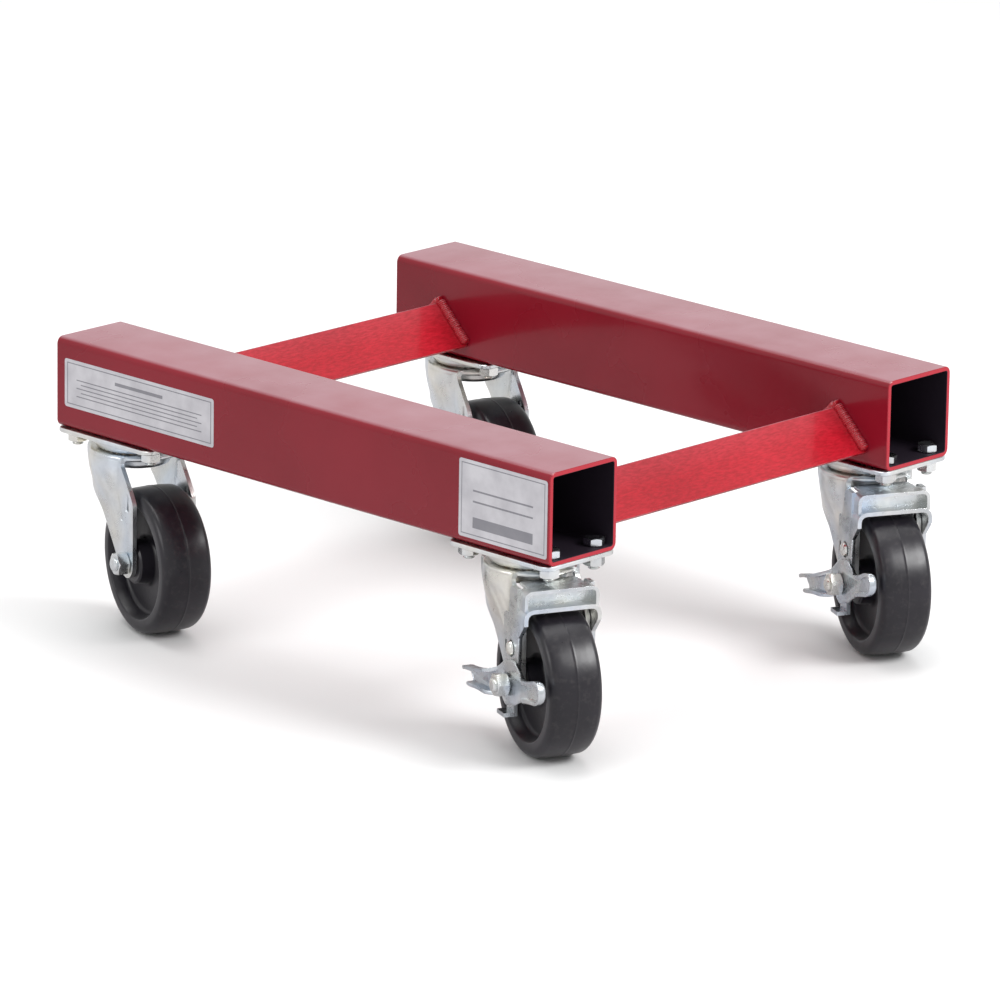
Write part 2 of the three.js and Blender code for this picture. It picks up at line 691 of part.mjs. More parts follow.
// ---- put the casters together -------------------------------------------
for (const caster of CASTERS) {
  const { name, x, y, yaw, brake } = caster;
  const braked = brake !== null;
  const square = { x, y, yaw: 0 };
  const turned = { x, y, yaw };
  addMesh(`${name}_top_plate`, 'zinc_steel', topPlate(), square);
  addMesh(`${name}_kingpin`, 'bright_bolt', kingpin(), square);
  addMesh(`${name}_ball_ring`, 'race_steel', torus(RACE_R, BALL_R, CROWN_TOP), square);
  BOLT_PLACES.forEach(([bx, by], i) => {
    addMesh(`${name}_bolt_${i + 1}`, 'bright_bolt', mountBolt(bx, by), square);
  });
  const outer = braked ? ARM_OUT : LEG_OUT;
  const nutSeat = (braked ? LEVER_OUT : LEG_OUT) + GAP;
  addMesh(`${name}_fork`, 'zinc_steel', fork(braked), turned);
  addMesh(`${name}_axle_bolt`, 'bright_bolt', axleBolt(outer, nutSeat), turned);
  addMesh(`${name}_axle_nut`, 'bright_bolt', axleNut(nutSeat), turned);
  addMesh(`${name}_axle_sleeve`, 'race_steel', axleSleeve(), turned);
  addMesh(`${name}_wheel`, 'wheel_black', wheel(), turned);
  if (braked) {
    addMesh(`${name}_brake_saddle`, 'brake_zinc', saddle(), turned);
    addMesh(`${name}_brake_lever`, 'brake_zinc', lever(brake), turned);
    addMesh(`${name}_brake_rivet`, 'bright_bolt', brakeRivet(), turned);
  }
}

// Origin on the floor, under the middle of the whole footprint.
const footprint = new THREE.Box3().setFromObject(group).getCenter(new THREE.Vector3());
for (const mesh of group.children) {
  mesh.geometry.translate(-footprint.x, -footprint.y, 0);
}

export default group;
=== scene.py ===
import json
import math

import bmesh
import bpy
from mathutils import Matrix, Vector


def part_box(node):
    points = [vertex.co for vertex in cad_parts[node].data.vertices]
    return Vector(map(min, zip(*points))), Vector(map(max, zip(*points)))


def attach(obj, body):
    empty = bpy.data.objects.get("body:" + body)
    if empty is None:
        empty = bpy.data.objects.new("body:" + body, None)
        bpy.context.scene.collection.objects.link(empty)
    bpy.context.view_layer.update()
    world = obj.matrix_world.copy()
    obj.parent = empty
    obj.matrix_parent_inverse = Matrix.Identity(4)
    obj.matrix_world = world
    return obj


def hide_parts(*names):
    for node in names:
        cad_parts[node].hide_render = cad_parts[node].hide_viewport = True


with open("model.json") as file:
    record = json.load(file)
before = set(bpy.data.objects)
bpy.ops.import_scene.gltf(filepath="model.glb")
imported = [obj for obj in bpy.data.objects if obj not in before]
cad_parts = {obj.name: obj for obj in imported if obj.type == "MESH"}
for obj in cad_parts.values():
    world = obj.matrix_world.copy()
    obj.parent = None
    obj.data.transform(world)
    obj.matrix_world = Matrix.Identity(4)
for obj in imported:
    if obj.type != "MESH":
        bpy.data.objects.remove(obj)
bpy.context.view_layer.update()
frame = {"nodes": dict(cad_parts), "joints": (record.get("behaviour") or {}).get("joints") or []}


# ---- Rails ----
# Two lengths of square steel tube with a rolled round corner, sawn off square.
# After welding they are sprayed with glossy red enamel, inside as far as the
# spray reaches. The sawn ends and the sharp edges are coloured a brighter red,
# a painted highlight.

def feed(tree, node, inputs):
    """Puts values or links on a node's inputs."""
    for key, value in inputs.items():
        if isinstance(value, bpy.types.NodeSocket):
            tree.links.new(value, node.inputs[key])
        else:
            node.inputs[key].default_value = value


def add(tree, kind, inputs=None, **props):
    """A node of that kind, with its settings and its inputs."""
    node = tree.nodes.new(kind)
    for key, value in props.items():
        setattr(node, key, value)
    feed(tree, node, inputs or {})
    return node


def noise(tree, scale, detail, **props):
    """Noise that keeps its place on the object."""
    place = add(tree, "ShaderNodeTexCoord").outputs["Object"]
    values = {"Vector": place, "Scale": scale, "Detail": detail, **props}
    return add(tree, "ShaderNodeTexNoise", values).outputs["Fac"]


def scaled(tree, value, to_min, to_max, from_min=0.0, from_max=1.0):
    """A number carried from one range to another."""
    return add(tree, "ShaderNodeMapRange", {"Value": value, "From Min": from_min, "From Max": from_max,
                                            "To Min": to_min, "To Max": to_max}).outputs[0]


def bumped(tree, height, strength, distance):
    """The surface's direction tilted by a height."""
    return add(tree, "ShaderNodeBump", {"Height": height, "Strength": strength,
                                        "Distance": distance}).outputs[0]


def ramp(tree, factor, low, high, colours=((0, 0, 0, 1), (1, 1, 1, 1))):
    """A two-stop ramp between the positions low and high."""
    node = add(tree, "ShaderNodeValToRGB", {"Fac": factor})
    for stop, place, colour in zip(node.color_ramp.elements, (low, high), colours):
        stop.position = place
        stop.color = colour
    return node.outputs["Color"]


def mixed(tree, factor, a, b, blend="MIX"):
    """Colour a going to colour b by the factor."""
    node = add(tree, "ShaderNodeMix", {0: factor, 6: a, 7: b}, data_type="RGBA", blend_type=blend)
    return node.outputs[2]


def maths(tree, operation, a, b=0.5, c=0.5):
    """One sum on numbers or sockets, kept between 0 and 1."""
    node = add(tree, "ShaderNodeMath", {0: a, 1: b, 2: c}, operation=operation, use_clamp=True)
    return node.outputs[0]


def shader_group(name, inputs, outputs):
    """An empty shader group with number inputs and number outputs."""
    tree = bpy.data.node_groups.new(name, "ShaderNodeTree")
    for label, value in inputs:
        socket = tree.interface.new_socket(label, in_out="INPUT", socket_type="NodeSocketFloat")
        socket.default_value = value
    for label in outputs:
        tree.interface.new_socket(label, in_out="OUTPUT", socket_type="NodeSocketFloat")
    return tree, tree.nodes.new("NodeGroupInput").outputs, tree.nodes.new("NodeGroupOutput").inputs


def sprayed_film_group():
    """Slow changes of tone and the fine orange peel of a sprayed film."""
    tree, given, out = shader_group("sprayed_film", [("Tone scale", 9.0), ("Peel scale", 500.0)],
                                    ["Tone", "Peel"])
    tree.links.new(noise(tree, given["Tone scale"], 5.0), out["Tone"])
    tree.links.new(noise(tree, given["Peel scale"], 2.0), out["Peel"])
    return tree


def dust_and_sheen_group():
    """Powdery dirt settled on faces that look up, broken into patches; in a light colour it also paints a
    sheen of light on the tops.
    """
    tree, given, out = shader_group("dust_and_sheen", [("Amount", 0.3), ("Patch scale", 40.0)], ["Dust"])
    facing = add(tree, "ShaderNodeSeparateXYZ", {0: add(tree, "ShaderNodeNewGeometry").outputs["Normal"]})
    patch = noise(tree, given["Patch scale"], 6.0)
    up = ramp(tree, facing.outputs["Z"], 0.74, 0.97)
    spread = ramp(tree, patch, 0.20, 0.75, ((0.55, 0.55, 0.55, 1), (1, 1, 1, 1)))
    dust_and_sheen_mask = maths(tree, "MULTIPLY", maths(tree, "MULTIPLY", up, spread), given["Amount"])
    tree.links.new(dust_and_sheen_mask, out["Dust"])
    return tree


def edge_highlight_group():
    """Strength of a painted edge highlight: 0 on flats, towards 1 on sharp corners."""
    tree, given, out = shader_group("edge_highlight", [("Radius", 0.0008), ("Amount", 1.0)], ["Edge"])
    true_normal = add(tree, "ShaderNodeNewGeometry").outputs["Normal"]
    rounded = add(tree, "ShaderNodeBevel", {"Radius": given["Radius"]}, samples=4)
    likeness = add(tree, "ShaderNodeVectorMath", {0: true_normal, 1: rounded.outputs[0]},
                   operation="DOT_PRODUCT")
    turned = maths(tree, "SUBTRACT", 1.0, likeness.outputs["Value"])
    tree.links.new(maths(tree, "MULTIPLY", maths(tree, "MULTIPLY", turned, 6.0), given["Amount"]),
                   out["Edge"])
    return tree


sprayed_film = sprayed_film_group()
dust_and_sheen = dust_and_sheen_group()
edge_highlight = edge_highlight_group()


def new_material(name):
    """A node material: its tree and its one shader."""
    material = bpy.data.materials.new(name)
    material.use_nodes = True
    return material, material.node_tree, material.node_tree.nodes["Principled BSDF"]


def use_group(tree, group, values):
    """A placed group's outputs, with this material's own values."""
    return add(tree, "ShaderNodeGroup", values, node_tree=group).outputs


def red_enamel(name, deep, bright, rolled):
    """Glossy red enamel; rolled adds the streaks of hot-rolled steel under it."""
    material, tree, shader = new_material(name)
    film = use_group(tree, sprayed_film, {"Tone scale": 7.0, "Peel scale": 420.0})
    # Faces that look up turn pale pink: settled dirt, and a painted sheen of the overhead light on the tops.
    dust_and_sheen_mask = use_group(tree, dust_and_sheen, {"Amount": 0.80, "Patch scale": 30.0})["Dust"]
    edge = use_group(tree, edge_highlight, {"Radius": 0.0009, "Amount": 0.6})["Edge"]
    body = ramp(tree, film["Tone"], 0.3, 0.7, (deep, bright))
    # Painted highlight: the sharp edges are coloured a brighter red.
    edge_highlighted = mixed(tree, edge, body, (0.58, 0.03, 0.05, 1))
    facing = add(tree, "ShaderNodeSeparateXYZ", {0: add(tree, "ShaderNodeNewGeometry").outputs["Normal"]})
    sawn = ramp(tree, maths(tree, "ABSOLUTE", facing.outputs["Y"]), 0.80, 0.95)
    # Painted highlight: on the tube, the faces that look along it (the sawn ends) are coloured a brighter
    # red.
    ends_highlighted = mixed(tree, 0.0 if rolled else sawn, edge_highlighted, (0.38, 0.012, 0.026, 1))
    dust_and_sheen_coloured = mixed(tree, dust_and_sheen_mask, ends_highlighted, (0.335, 0.165, 0.195, 1))
    bare = add(tree, "ShaderNodeAttribute", attribute_name="inner").outputs["Fac"]
    unpainted = maths(tree, "MULTIPLY", bare, maths(tree, "SUBTRACT", 1.0, sawn))
    colour = mixed(tree, unpainted, dust_and_sheen_coloured, (0.012, 0.007, 0.014, 1))
    if rolled:
        place = add(tree, "ShaderNodeTexCoord").outputs["Object"]
        along = add(tree, "ShaderNodeMapping", {"Vector": place, "Scale": (0.25, 1.0, 1.0)}).outputs[0]
        mill = noise(tree, 820.0, 7.0, Vector=along)
        pits = ramp(tree, mill, 0.34, 0.64, ((0.72, 0.62, 0.62, 1), (1, 1, 1, 1)))
        colour = mixed(tree, 1.0, colour, pits, "MULTIPLY")
        normal = bumped(tree, maths(tree, "MULTIPLY_ADD", mill, 0.8, 0.1), 0.40, 0.0006)
    else:
        normal = bumped(tree, film["Peel"], 0.06, 0.0004)
    dull = maths(tree, "MAXIMUM", scaled(tree, film["Tone"], 0.22, 0.34),
                 maths(tree, "MULTIPLY", unpainted, 0.7))
    coat = maths(tree, "MULTIPLY", maths(tree, "SUBTRACT", 1.0, unpainted), 0.35)
    feed(tree, shader, {"Base Color": colour, "Roughness": dull, "Normal": normal, "Coat Weight": coat,
                        "Specular IOR Level": 0.25, "Coat Roughness": 0.10, "Coat IOR": 1.5})
    return material


tube_enamel = red_enamel("red_enamel_on_tube", (0.175, 0.002, 0.010, 1), (0.225, 0.004, 0.015, 1), False)


def arc_points(centre, radius, start, end, steps):
    """Points of an arc in degrees, round a centre in the plane."""
    turns = [math.radians(start + (end - start) * i / steps) for i in range(steps + 1)]
    return [(centre[0] + radius * math.cos(t), centre[1] + radius * math.sin(t)) for t in turns]


def round_rectangle(half_x, half_y, radius, steps=6):
    """Outline of a rectangle with round corners, anticlockwise from the right."""
    points = []
    for quarter, (sx, sy) in enumerate(((1, 1), (-1, 1), (-1, -1), (1, -1))):
        centre = (sx * (half_x - radius), sy * (half_y - radius))
        points += arc_points(centre, radius, 90 * quarter, 90 * quarter + 90, steps)
    return points


def skin(bm, rings, closed=False, capped=True):
    """Quads between rings of points; a closed skin joins the last ring to the first."""
    rows = [[bm.verts.new(point) for point in ring] for ring in rings]
    pairs = list(zip(rows, rows[1:] + rows[:1])) if closed else list(zip(rows, rows[1:]))
    count = len(rows[0])
    for near, far in pairs:
        for i in range(count):
            j = (i + 1) % count
            bm.faces.new((near[i], near[j], far[j], far[i]))
    if capped and not closed:
        bm.faces.new(rows[0])
        bm.faces.new(rows[-1])


def enrol(piece, body, nodes):
    """Hides the CAD nodes that a piece stands for and hangs the piece on the body it rides on."""
    if nodes:
        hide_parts(*nodes)
    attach(piece, body)


def in_scene(name, data):
    """An object of that data, put in the scene."""
    thing = bpy.data.objects.new(name, data)
    bpy.context.scene.collection.objects.link(thing)
    return thing


def mesh_from(name, bm):
    """The working mesh as a finished mesh."""
    mesh = bpy.data.meshes.new(name)
    bm.to_mesh(mesh)
    bm.free()
    return mesh


def mark(mesh, name, value_at):
    """Stores a number on each point of the mesh, for its material to read."""
    layer = mesh.attributes.new(name, "FLOAT", "POINT")
    for vertex, value in zip(mesh.vertices, layer.data):
        value.value = value_at(vertex.co)


def piece_from(name, bm, material, crease=34):
    """A smooth-shaded object from the mesh, with creases sharper than that angle kept."""
    bmesh.ops.remove_doubles(bm, verts=bm.verts, dist=1e-6)
    bmesh.ops.recalc_face_normals(bm, faces=bm.faces)
    for face in bm.faces:
        face.smooth = True
    for edge in bm.edges:
        if len(edge.link_faces) == 2:
            edge.smooth = edge.calc_face_angle(0.0) < math.radians(crease)
    mesh = mesh_from(name, bm)
    mesh.materials.append(material)
    return in_scene(name, mesh)


MM = 0.001
RAIL_WALL = 3.2 * MM
RAIL_CORNER = 5.0 * MM
SAW_EDGE = 0.35 * MM
CORNER_STEPS = 8

for node in ("left_rail", "right_rail"):
    low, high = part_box(node)
    cx = (low.x + high.x) / 2
    cz = (low.z + high.z) / 2
    half = (high.x - low.x) / 2
    inside, inner_corner = half - RAIL_WALL, RAIL_CORNER - RAIL_WALL
    stations = [
        (half - SAW_EDGE, RAIL_CORNER, low.y), (half, RAIL_CORNER, low.y + SAW_EDGE),
        (half, RAIL_CORNER, high.y - SAW_EDGE), (half - SAW_EDGE, RAIL_CORNER, high.y),
        (inside + SAW_EDGE, inner_corner, high.y), (inside, inner_corner, high.y - SAW_EDGE),
        (inside, inner_corner, low.y + SAW_EDGE), (inside + SAW_EDGE, inner_corner, low.y),
    ]
    bm = bmesh.new()
    skin(bm, [[Vector((cx + x, y, cz + z)) for x, z in round_rectangle(h, h, r, CORNER_STEPS)]
              for h, r, y in stations], closed=True)
    rail = piece_from(f"{node}_tube", bm, tube_enamel)
    mid_wall = half - RAIL_WALL / 2
    mark(rail.data, "inner", lambda at: float(max(abs(at.x - cx), abs(at.z - cz)) < mid_wall))
    enrol(rail, "frame", [node])


# ---- Crossbars ----
# Hot-rolled steel angle laid ridge up like a roof, so the tyre's tread clears
# it. The rolled toes are round, the inside corner has a fillet, and the
# surface keeps its mill texture under the red enamel.

BAR_THICK = 4.8 * MM
TOE_R = 2.6 * MM
ROOT_R = 5.0 * MM
RIDGE_R = 0.9 * MM

rail_inner_faces = [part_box("left_rail")[1].x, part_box("right_rail")[0].x]
bar_enamel = red_enamel("red_enamel_on_angle", (0.32, 0.005, 0.013, 1), (0.43, 0.009, 0.021, 1), True)


def angle_outline(leg):
    """Rolled angle in its own axes: corner at the origin, legs along +u and +v."""
    t = BAR_THICK
    outline = arc_points((RIDGE_R, RIDGE_R), RIDGE_R, 180, 270, 4)
    outline += [(leg, 0.0)]
    outline += arc_points((leg - TOE_R, t - TOE_R), TOE_R, 0, 90, 5)
    outline += arc_points((t + ROOT_R, t + ROOT_R), ROOT_R, 270, 180, 6)
    outline += arc_points((t - TOE_R, leg - TOE_R), TOE_R, 0, 90, 5)
    outline += [(0.0, leg)]
    return outline


for node in ("front_crossbar", "rear_crossbar"):
    low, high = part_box(node)
    middle = (low.y + high.y) / 2
    leg = (high.y - low.y) / 2 * math.sqrt(2)
    slope = math.sqrt(0.5)
    outline = [(middle + (u - v) * slope, high.z - (u + v) * slope) for u, v in angle_outline(leg)]
    bm = bmesh.new()
    skin(bm, [[Vector((x, y, z)) for y, z in outline] for x in rail_inner_faces])
    bar = piece_from(f"{node}_angle", bm, bar_enamel)
    enrol(bar, "frame", [node])


# ---- Weld beads ----
# MIG fillet welds join each end of a crossbar to the rail, up one slope of the
# angle and down the other. The overlapping ripples are left as welded and
# painted over.

def geometry_tree(name, inputs):
    """An empty geometry tree with named inputs: its nodes' input and output ends."""
    tree = bpy.data.node_groups.new(name, "GeometryNodeTree")
    tree.interface.new_socket("Geometry", in_out="INPUT", socket_type="NodeSocketGeometry")
    tree.interface.new_socket("Geometry", in_out="OUTPUT", socket_type="NodeSocketGeometry")
    for label, kind in inputs:
        tree.interface.new_socket(label, in_out="INPUT", socket_type="NodeSocket" + kind)
    return tree, tree.nodes.new("NodeGroupInput").outputs, tree.nodes.new("NodeGroupOutput").inputs


def end_tree(tree, out, instances, material, smooth=True):
    """Realises the instances, smooths them if asked and gives them their material."""
    made = add(tree, "GeometryNodeRealizeInstances", {"Geometry": instances})
    if smooth:
        made = add(tree, "GeometryNodeSetShadeSmooth", {"Geometry": made.outputs[0]})
    finish = add(tree, "GeometryNodeSetMaterial", {"Geometry": made.outputs[0], "Material": material})
    tree.links.new(finish.outputs[0], out["Geometry"])


def weld_bead_tree():
    """Flattened round ripples along each edge of a wire, sized a little at random."""
    tree, given, out = geometry_tree("weld_bead", [
        ("Ripple spacing", "Float"), ("Bead radius", "Float"), ("Seed", "Int"), ("Material", "Material")])
    wire = add(tree, "GeometryNodeMeshToCurve", {"Mesh": given["Geometry"]})
    steps = add(tree, "GeometryNodeResampleCurve", {"Curve": wire.outputs[0],
                                                    "Length": given["Ripple spacing"]}, mode="LENGTH")
    ripple = add(tree, "GeometryNodeMeshIcoSphere", {"Radius": given["Bead radius"], "Subdivisions": 3})
    tangent = add(tree, "GeometryNodeInputTangent")
    turn = add(tree, "FunctionNodeAlignRotationToVector", {"Vector": tangent.outputs[0]}, axis="Z")
    size = add(tree, "FunctionNodeRandomValue", {"Min": (0.88, 0.88, 0.34), "Max": (1.06, 1.06, 0.46),
                                                 "Seed": given["Seed"]}, data_type="FLOAT_VECTOR")
    placed = add(tree, "GeometryNodeInstanceOnPoints", {
        "Points": steps.outputs[0], "Instance": ripple.outputs[0], "Rotation": turn.outputs[0],
        "Scale": size.outputs[0]})
    end_tree(tree, out, placed.outputs[0], given["Material"])
    return tree


def worked_mesh(piece):
    """The piece's mesh as its modifiers leave it."""
    bpy.context.view_layer.update()
    graph = bpy.context.evaluated_depsgraph_get()
    return bpy.data.meshes.new_from_object(piece.evaluated_get(graph))


def grown(name, mesh, tree, values):
    """Runs a geometry tree on a mesh and keeps the result as a plain object."""
    seedling = in_scene(name + "_source", mesh)
    modifier = seedling.modifiers.new(name, "NODES")
    modifier.node_group = tree
    for label, value in values.items():
        modifier[tree.interface.items_tree[label].identifier] = value
    plain = worked_mesh(seedling)
    plain.name = name
    bpy.data.objects.remove(seedling)
    return in_scene(name, plain)


weld_bead = weld_bead_tree()
BEAD_R = 4.2 * MM
BEAD_IN = 1.4 * MM
RIPPLE = 1.35 * MM
TOE_UP = 4.5 * MM
TOE_IN = 1.5 * MM
RIDGE_UP = 0.4 * MM

for end in ("front", "rear"):
    low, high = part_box(f"{end}_crossbar")
    middle = (low.y + high.y) / 2
    wire = bmesh.new()
    for face_x, inward in zip(rail_inner_faces, (1, -1)):
        x = face_x + inward * BEAD_IN
        route = [wire.verts.new((x, y, z)) for y, z in (
            (low.y + TOE_IN, low.z + TOE_UP), (middle, high.z + RIDGE_UP), (high.y - TOE_IN, low.z + TOE_UP))]
        wire.edges.new(route[:2])
        wire.edges.new(route[1:])
    beads = grown(f"{end}_crossbar_welds", mesh_from(f"{end}_weld_wire", wire), weld_bead, {
        "Ripple spacing": RIPPLE, "Bead radius": BEAD_R, "Seed": 4, "Material": bar_enamel})
    enrol(beads, "frame", [])


# ---- Caster places ----
# Each caster is bolted under a rail end and built about its own kingpin: z = 0
# at the underside of the rail, the wheel trailing along +x, the axle's nut and
# the brake lever on the -y side.

CASTERS = ("front_left", "front_right", "rear_left", "rear_right")
rail_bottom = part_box("left_rail")[0].z
joints = {joint["name"]: joint for joint in frame["joints"]}
plate_place = {}
fork_place = {}
for caster in CASTERS:
    kingpin = Vector(joints[f"{caster}_swivel_turn"]["pos_m"])
    across = joints[f"{caster}_wheel_spin"]["axis"]
    trail = math.atan2(-across[0], across[1])
    plate_place[caster] = Matrix.Translation((kingpin.x, kingpin.y, rail_bottom))
    fork_place[caster] = plate_place[caster] @ Matrix.Rotation(trail, 4, "Z")

axle_at = fork_place["rear_left"].inverted() @ Vector(joints["rear_left_wheel_spin"]["pos_m"])
AXLE_X = axle_at.x
AXLE_Z = axle_at.z


# ---- Mounting plates ----
# Pressed from 3 mm steel: a flat plate with rounded corners and a round boss
# that carries the upper ball race. Barrel zinc plated, so it is bright with
# soft cloudy changes and a faint blue and straw tint.

def zinc_plate(name, dull, bright, rough):
    """Bright zinc on pressed steel, cloudy, with painted highlights on its edges, drips of rust and grease.
    """
    material, tree, shader = new_material(name)
    cloud = noise(tree, 55.0, 6.0, Roughness=0.62)
    fine = noise(tree, 900.0, 3.0)
    tint = noise(tree, 24.0, 2.0)
    edge = use_group(tree, edge_highlight, {"Radius": 0.0006, "Amount": 0.7})["Edge"]
    dust_and_sheen_mask = use_group(tree, dust_and_sheen, {"Amount": 0.22, "Patch scale": 90.0})["Dust"]
    heat = add(tree, "ShaderNodeAttribute", attribute_name="heat").outputs["Fac"]
    metal = ramp(tree, cloud, 0.32, 0.68, (dull, bright))
    warm = ramp(tree, tint, 0.35, 0.65, ((0.88, 0.94, 1.0, 1), (1.0, 0.97, 0.88, 1)))
    tinted = mixed(tree, 1.0, metal, warm, "MULTIPLY")
    # Painted highlight: the sharp edges are coloured near white.
    highlit_edges = mixed(tree, edge, tinted, (0.90, 0.90, 0.90, 1))
    speck = ramp(tree, cloud, 0.30, 0.62)
    tanned = mixed(tree, maths(tree, "MULTIPLY", heat, speck), highlit_edges, (0.42, 0.17, 0.045, 1))
    dust_and_sheen_coloured = mixed(tree, dust_and_sheen_mask, tanned, (0.45, 0.42, 0.38, 1))
    wear = scaled(tree, cloud, rough - 0.07, rough + 0.10, 0.3, 0.7)
    relief = add(tree, "ShaderNodeMix", {0: 0.35, 2: cloud, 3: fine}).outputs[0]
    feed(tree, shader, {"Base Color": dust_and_sheen_coloured, "Roughness": wear, "Metallic": 1.0,
                        "Normal": bumped(tree, relief, 0.16, 0.0006)})
    return material


def spun(turn, radius, height, axis):
    """A point round the axis, z or y."""
    a, b = radius * math.cos(turn), radius * math.sin(turn)
    return Vector((a, b, height)) if axis == "Z" else Vector((a, height, b))


def lathe(bm, profile, sides, place, axis="Z"):
    """Turns a profile of (radius, height) about the axis and closes it, by its poles or on itself."""
    looped = profile[0] == profile[-1]
    rows = []
    for radius, height in (profile[:-1] if looped else profile):
        turns = [2 * math.pi * i / sides for i in range(sides)] if radius > 1e-7 else [0.0]
        rows.append([bm.verts.new(place @ spun(turn, radius, height, axis)) for turn in turns])
    pairs = list(zip(rows, rows[1:]))
    if looped:
        pairs.append((rows[-1], rows[0]))
    for near, far in pairs:
        for i in range(sides):
            j = (i + 1) % sides
            corners = [near[i % len(near)], near[j % len(near)], far[j % len(far)], far[i % len(far)]]
            bm.faces.new(list(dict.fromkeys(corners)))


pressed_zinc = zinc_plate("zinc_on_pressed_steel", (0.74, 0.75, 0.76, 1), (0.95, 0.96, 0.97, 1), 0.30)

PLATE_CORNER = 7.0 * MM
PLATE_TOP = -0.3 * MM
PLATE_UNDER = -3.3 * MM
PRESS_EDGE = 0.45 * MM
BOSS_R = 30.1 * MM
BOSS_FLOOR = -9.7 * MM
PIN_HOLE_R = 6.4 * MM


for caster in CASTERS:
    low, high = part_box(f"{caster}_top_plate")
    hx = (high.x - low.x) / 2
    hy = (high.y - low.y) / 2
    place = plate_place[caster]
    levels = [(PRESS_EDGE, PLATE_TOP), (0, PLATE_TOP - PRESS_EDGE),
              (0, PLATE_UNDER + PRESS_EDGE), (PRESS_EDGE, PLATE_UNDER)]
    bm = bmesh.new()
    skin(bm, [[place @ Vector((x, y, z)) for x, y in
               round_rectangle(hx - inset, hy - inset, PLATE_CORNER - inset)] for inset, z in levels])
    boss = [(PIN_HOLE_R, PLATE_UNDER + 1 * MM), (PIN_HOLE_R, BOSS_FLOOR)]
    boss += arc_points((BOSS_R - 4.2 * MM, BOSS_FLOOR + 2.6 * MM), 2.6 * MM, 270, 350, 5)
    boss += arc_points((BOSS_R + 1.6 * MM, PLATE_UNDER - 2.2 * MM), 2.2 * MM, 180, 92, 5)
    boss += [(BOSS_R + 1.6 * MM, PLATE_UNDER + 1 * MM), (PIN_HOLE_R, PLATE_UNDER + 1 * MM)]
    lathe(bm, boss, 72, place)
    plate = piece_from(f"{caster}_mounting_plate", bm, pressed_zinc)
    enrol(plate, "frame", [f"{caster}_top_plate"])


# ---- Swivel balls ----
# A full ring of hardened steel balls runs in grease between the plate's boss
# and the fork's crown.

BALL_R = 2.5 * MM


def greased_steel():
    """Polished ball steel under a thin brown film of grease."""
    material, tree, shader = new_material("greased_bearing_steel")
    film = noise(tree, 300.0, 4.0)
    colour = ramp(tree, film, 0.4, 0.6, ((0.55, 0.53, 0.50, 1), (0.20, 0.13, 0.07, 1)))
    feed(tree, shader, {"Base Color": colour, "Roughness": scaled(tree, film, 0.12, 0.4), "Metallic": 0.9})
    return material


def ball_ring_tree():
    """Balls side by side on a circle."""
    tree, given, out = geometry_tree("ball_ring", [
        ("Ring radius", "Float"), ("Ball radius", "Float"), ("Balls", "Int"), ("Material", "Material")])
    circle = add(tree, "GeometryNodeMeshCircle", {"Vertices": given["Balls"], "Radius": given["Ring radius"]})
    ball = add(tree, "GeometryNodeMeshIcoSphere", {"Radius": given["Ball radius"], "Subdivisions": 3})
    placed = add(tree, "GeometryNodeInstanceOnPoints", {"Points": circle.outputs[0],
                                                        "Instance": ball.outputs[0]})
    end_tree(tree, out, placed.outputs[0], given["Material"])
    return tree


ball_steel = greased_steel()
ball_ring = ball_ring_tree()

for caster in CASTERS:
    low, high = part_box(f"{caster}_ball_ring")
    ring_r = (high.x - low.x) / 2 - BALL_R
    blank = bpy.data.meshes.new("ring_blank")
    count = int(2 * math.pi * ring_r / (2.02 * BALL_R))
    balls = grown(f"{caster}_swivel_balls", blank, ball_ring, {
        "Ring radius": ring_r, "Ball radius": BALL_R, "Balls": count, "Material": ball_steel})
    balls.data.transform(Matrix.Translation((low + high) / 2))
    enrol(balls, "frame", [f"{caster}_ball_ring"])


# ---- Kingpins ----
# A steel rivet holds plate, balls and fork together. Its lower head is spun
# over inside the fork's cup and shows only from below.

PIN_R = 6.0 * MM
PIN_FLANGE = 1.5 * MM
PIN_DOME = 4.0 * MM

bright_zinc = zinc_plate("zinc_on_fasteners", (0.78, 0.78, 0.78, 1), (0.96, 0.96, 0.95, 1), 0.24)

for caster in CASTERS:
    low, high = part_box(f"{caster}_kingpin")
    top = high.z - rail_bottom
    foot = low.z - rail_bottom
    head_r = (high.x - low.x) / 2
    profile = [(0, top), (head_r - 1.2 * MM, top), (head_r - 1 * MM, top - PIN_FLANGE),
               (PIN_R, top - PIN_FLANGE), (PIN_R, foot + PIN_DOME), (head_r, foot + PIN_DOME)]
    profile += [(head_r * math.cos(t), foot + PIN_DOME * (1 - math.sin(t)))
                for t in map(math.radians, range(10, 90, 10))]
    profile += [(0, foot)]
    bm = bmesh.new()
    lathe(bm, profile, 40, plate_place[caster])
    pin = piece_from(f"{caster}_kingpin_rivet", bm, bright_zinc)
    enrol(pin, "frame", [f"{caster}_kingpin"])


# ---- Mounting bolts ----
# Four zinc plated 5/16 inch hex bolts hold each caster: the heads sit inside
# the tube and the nuts are run up under the corners of the plate.

def hex_radius(turn, flats):
    """Distance from the centre to the side of a hexagon in that direction."""
    return flats / 2 / math.cos((turn + math.pi / 6) % (math.pi / 3) - math.pi / 6)


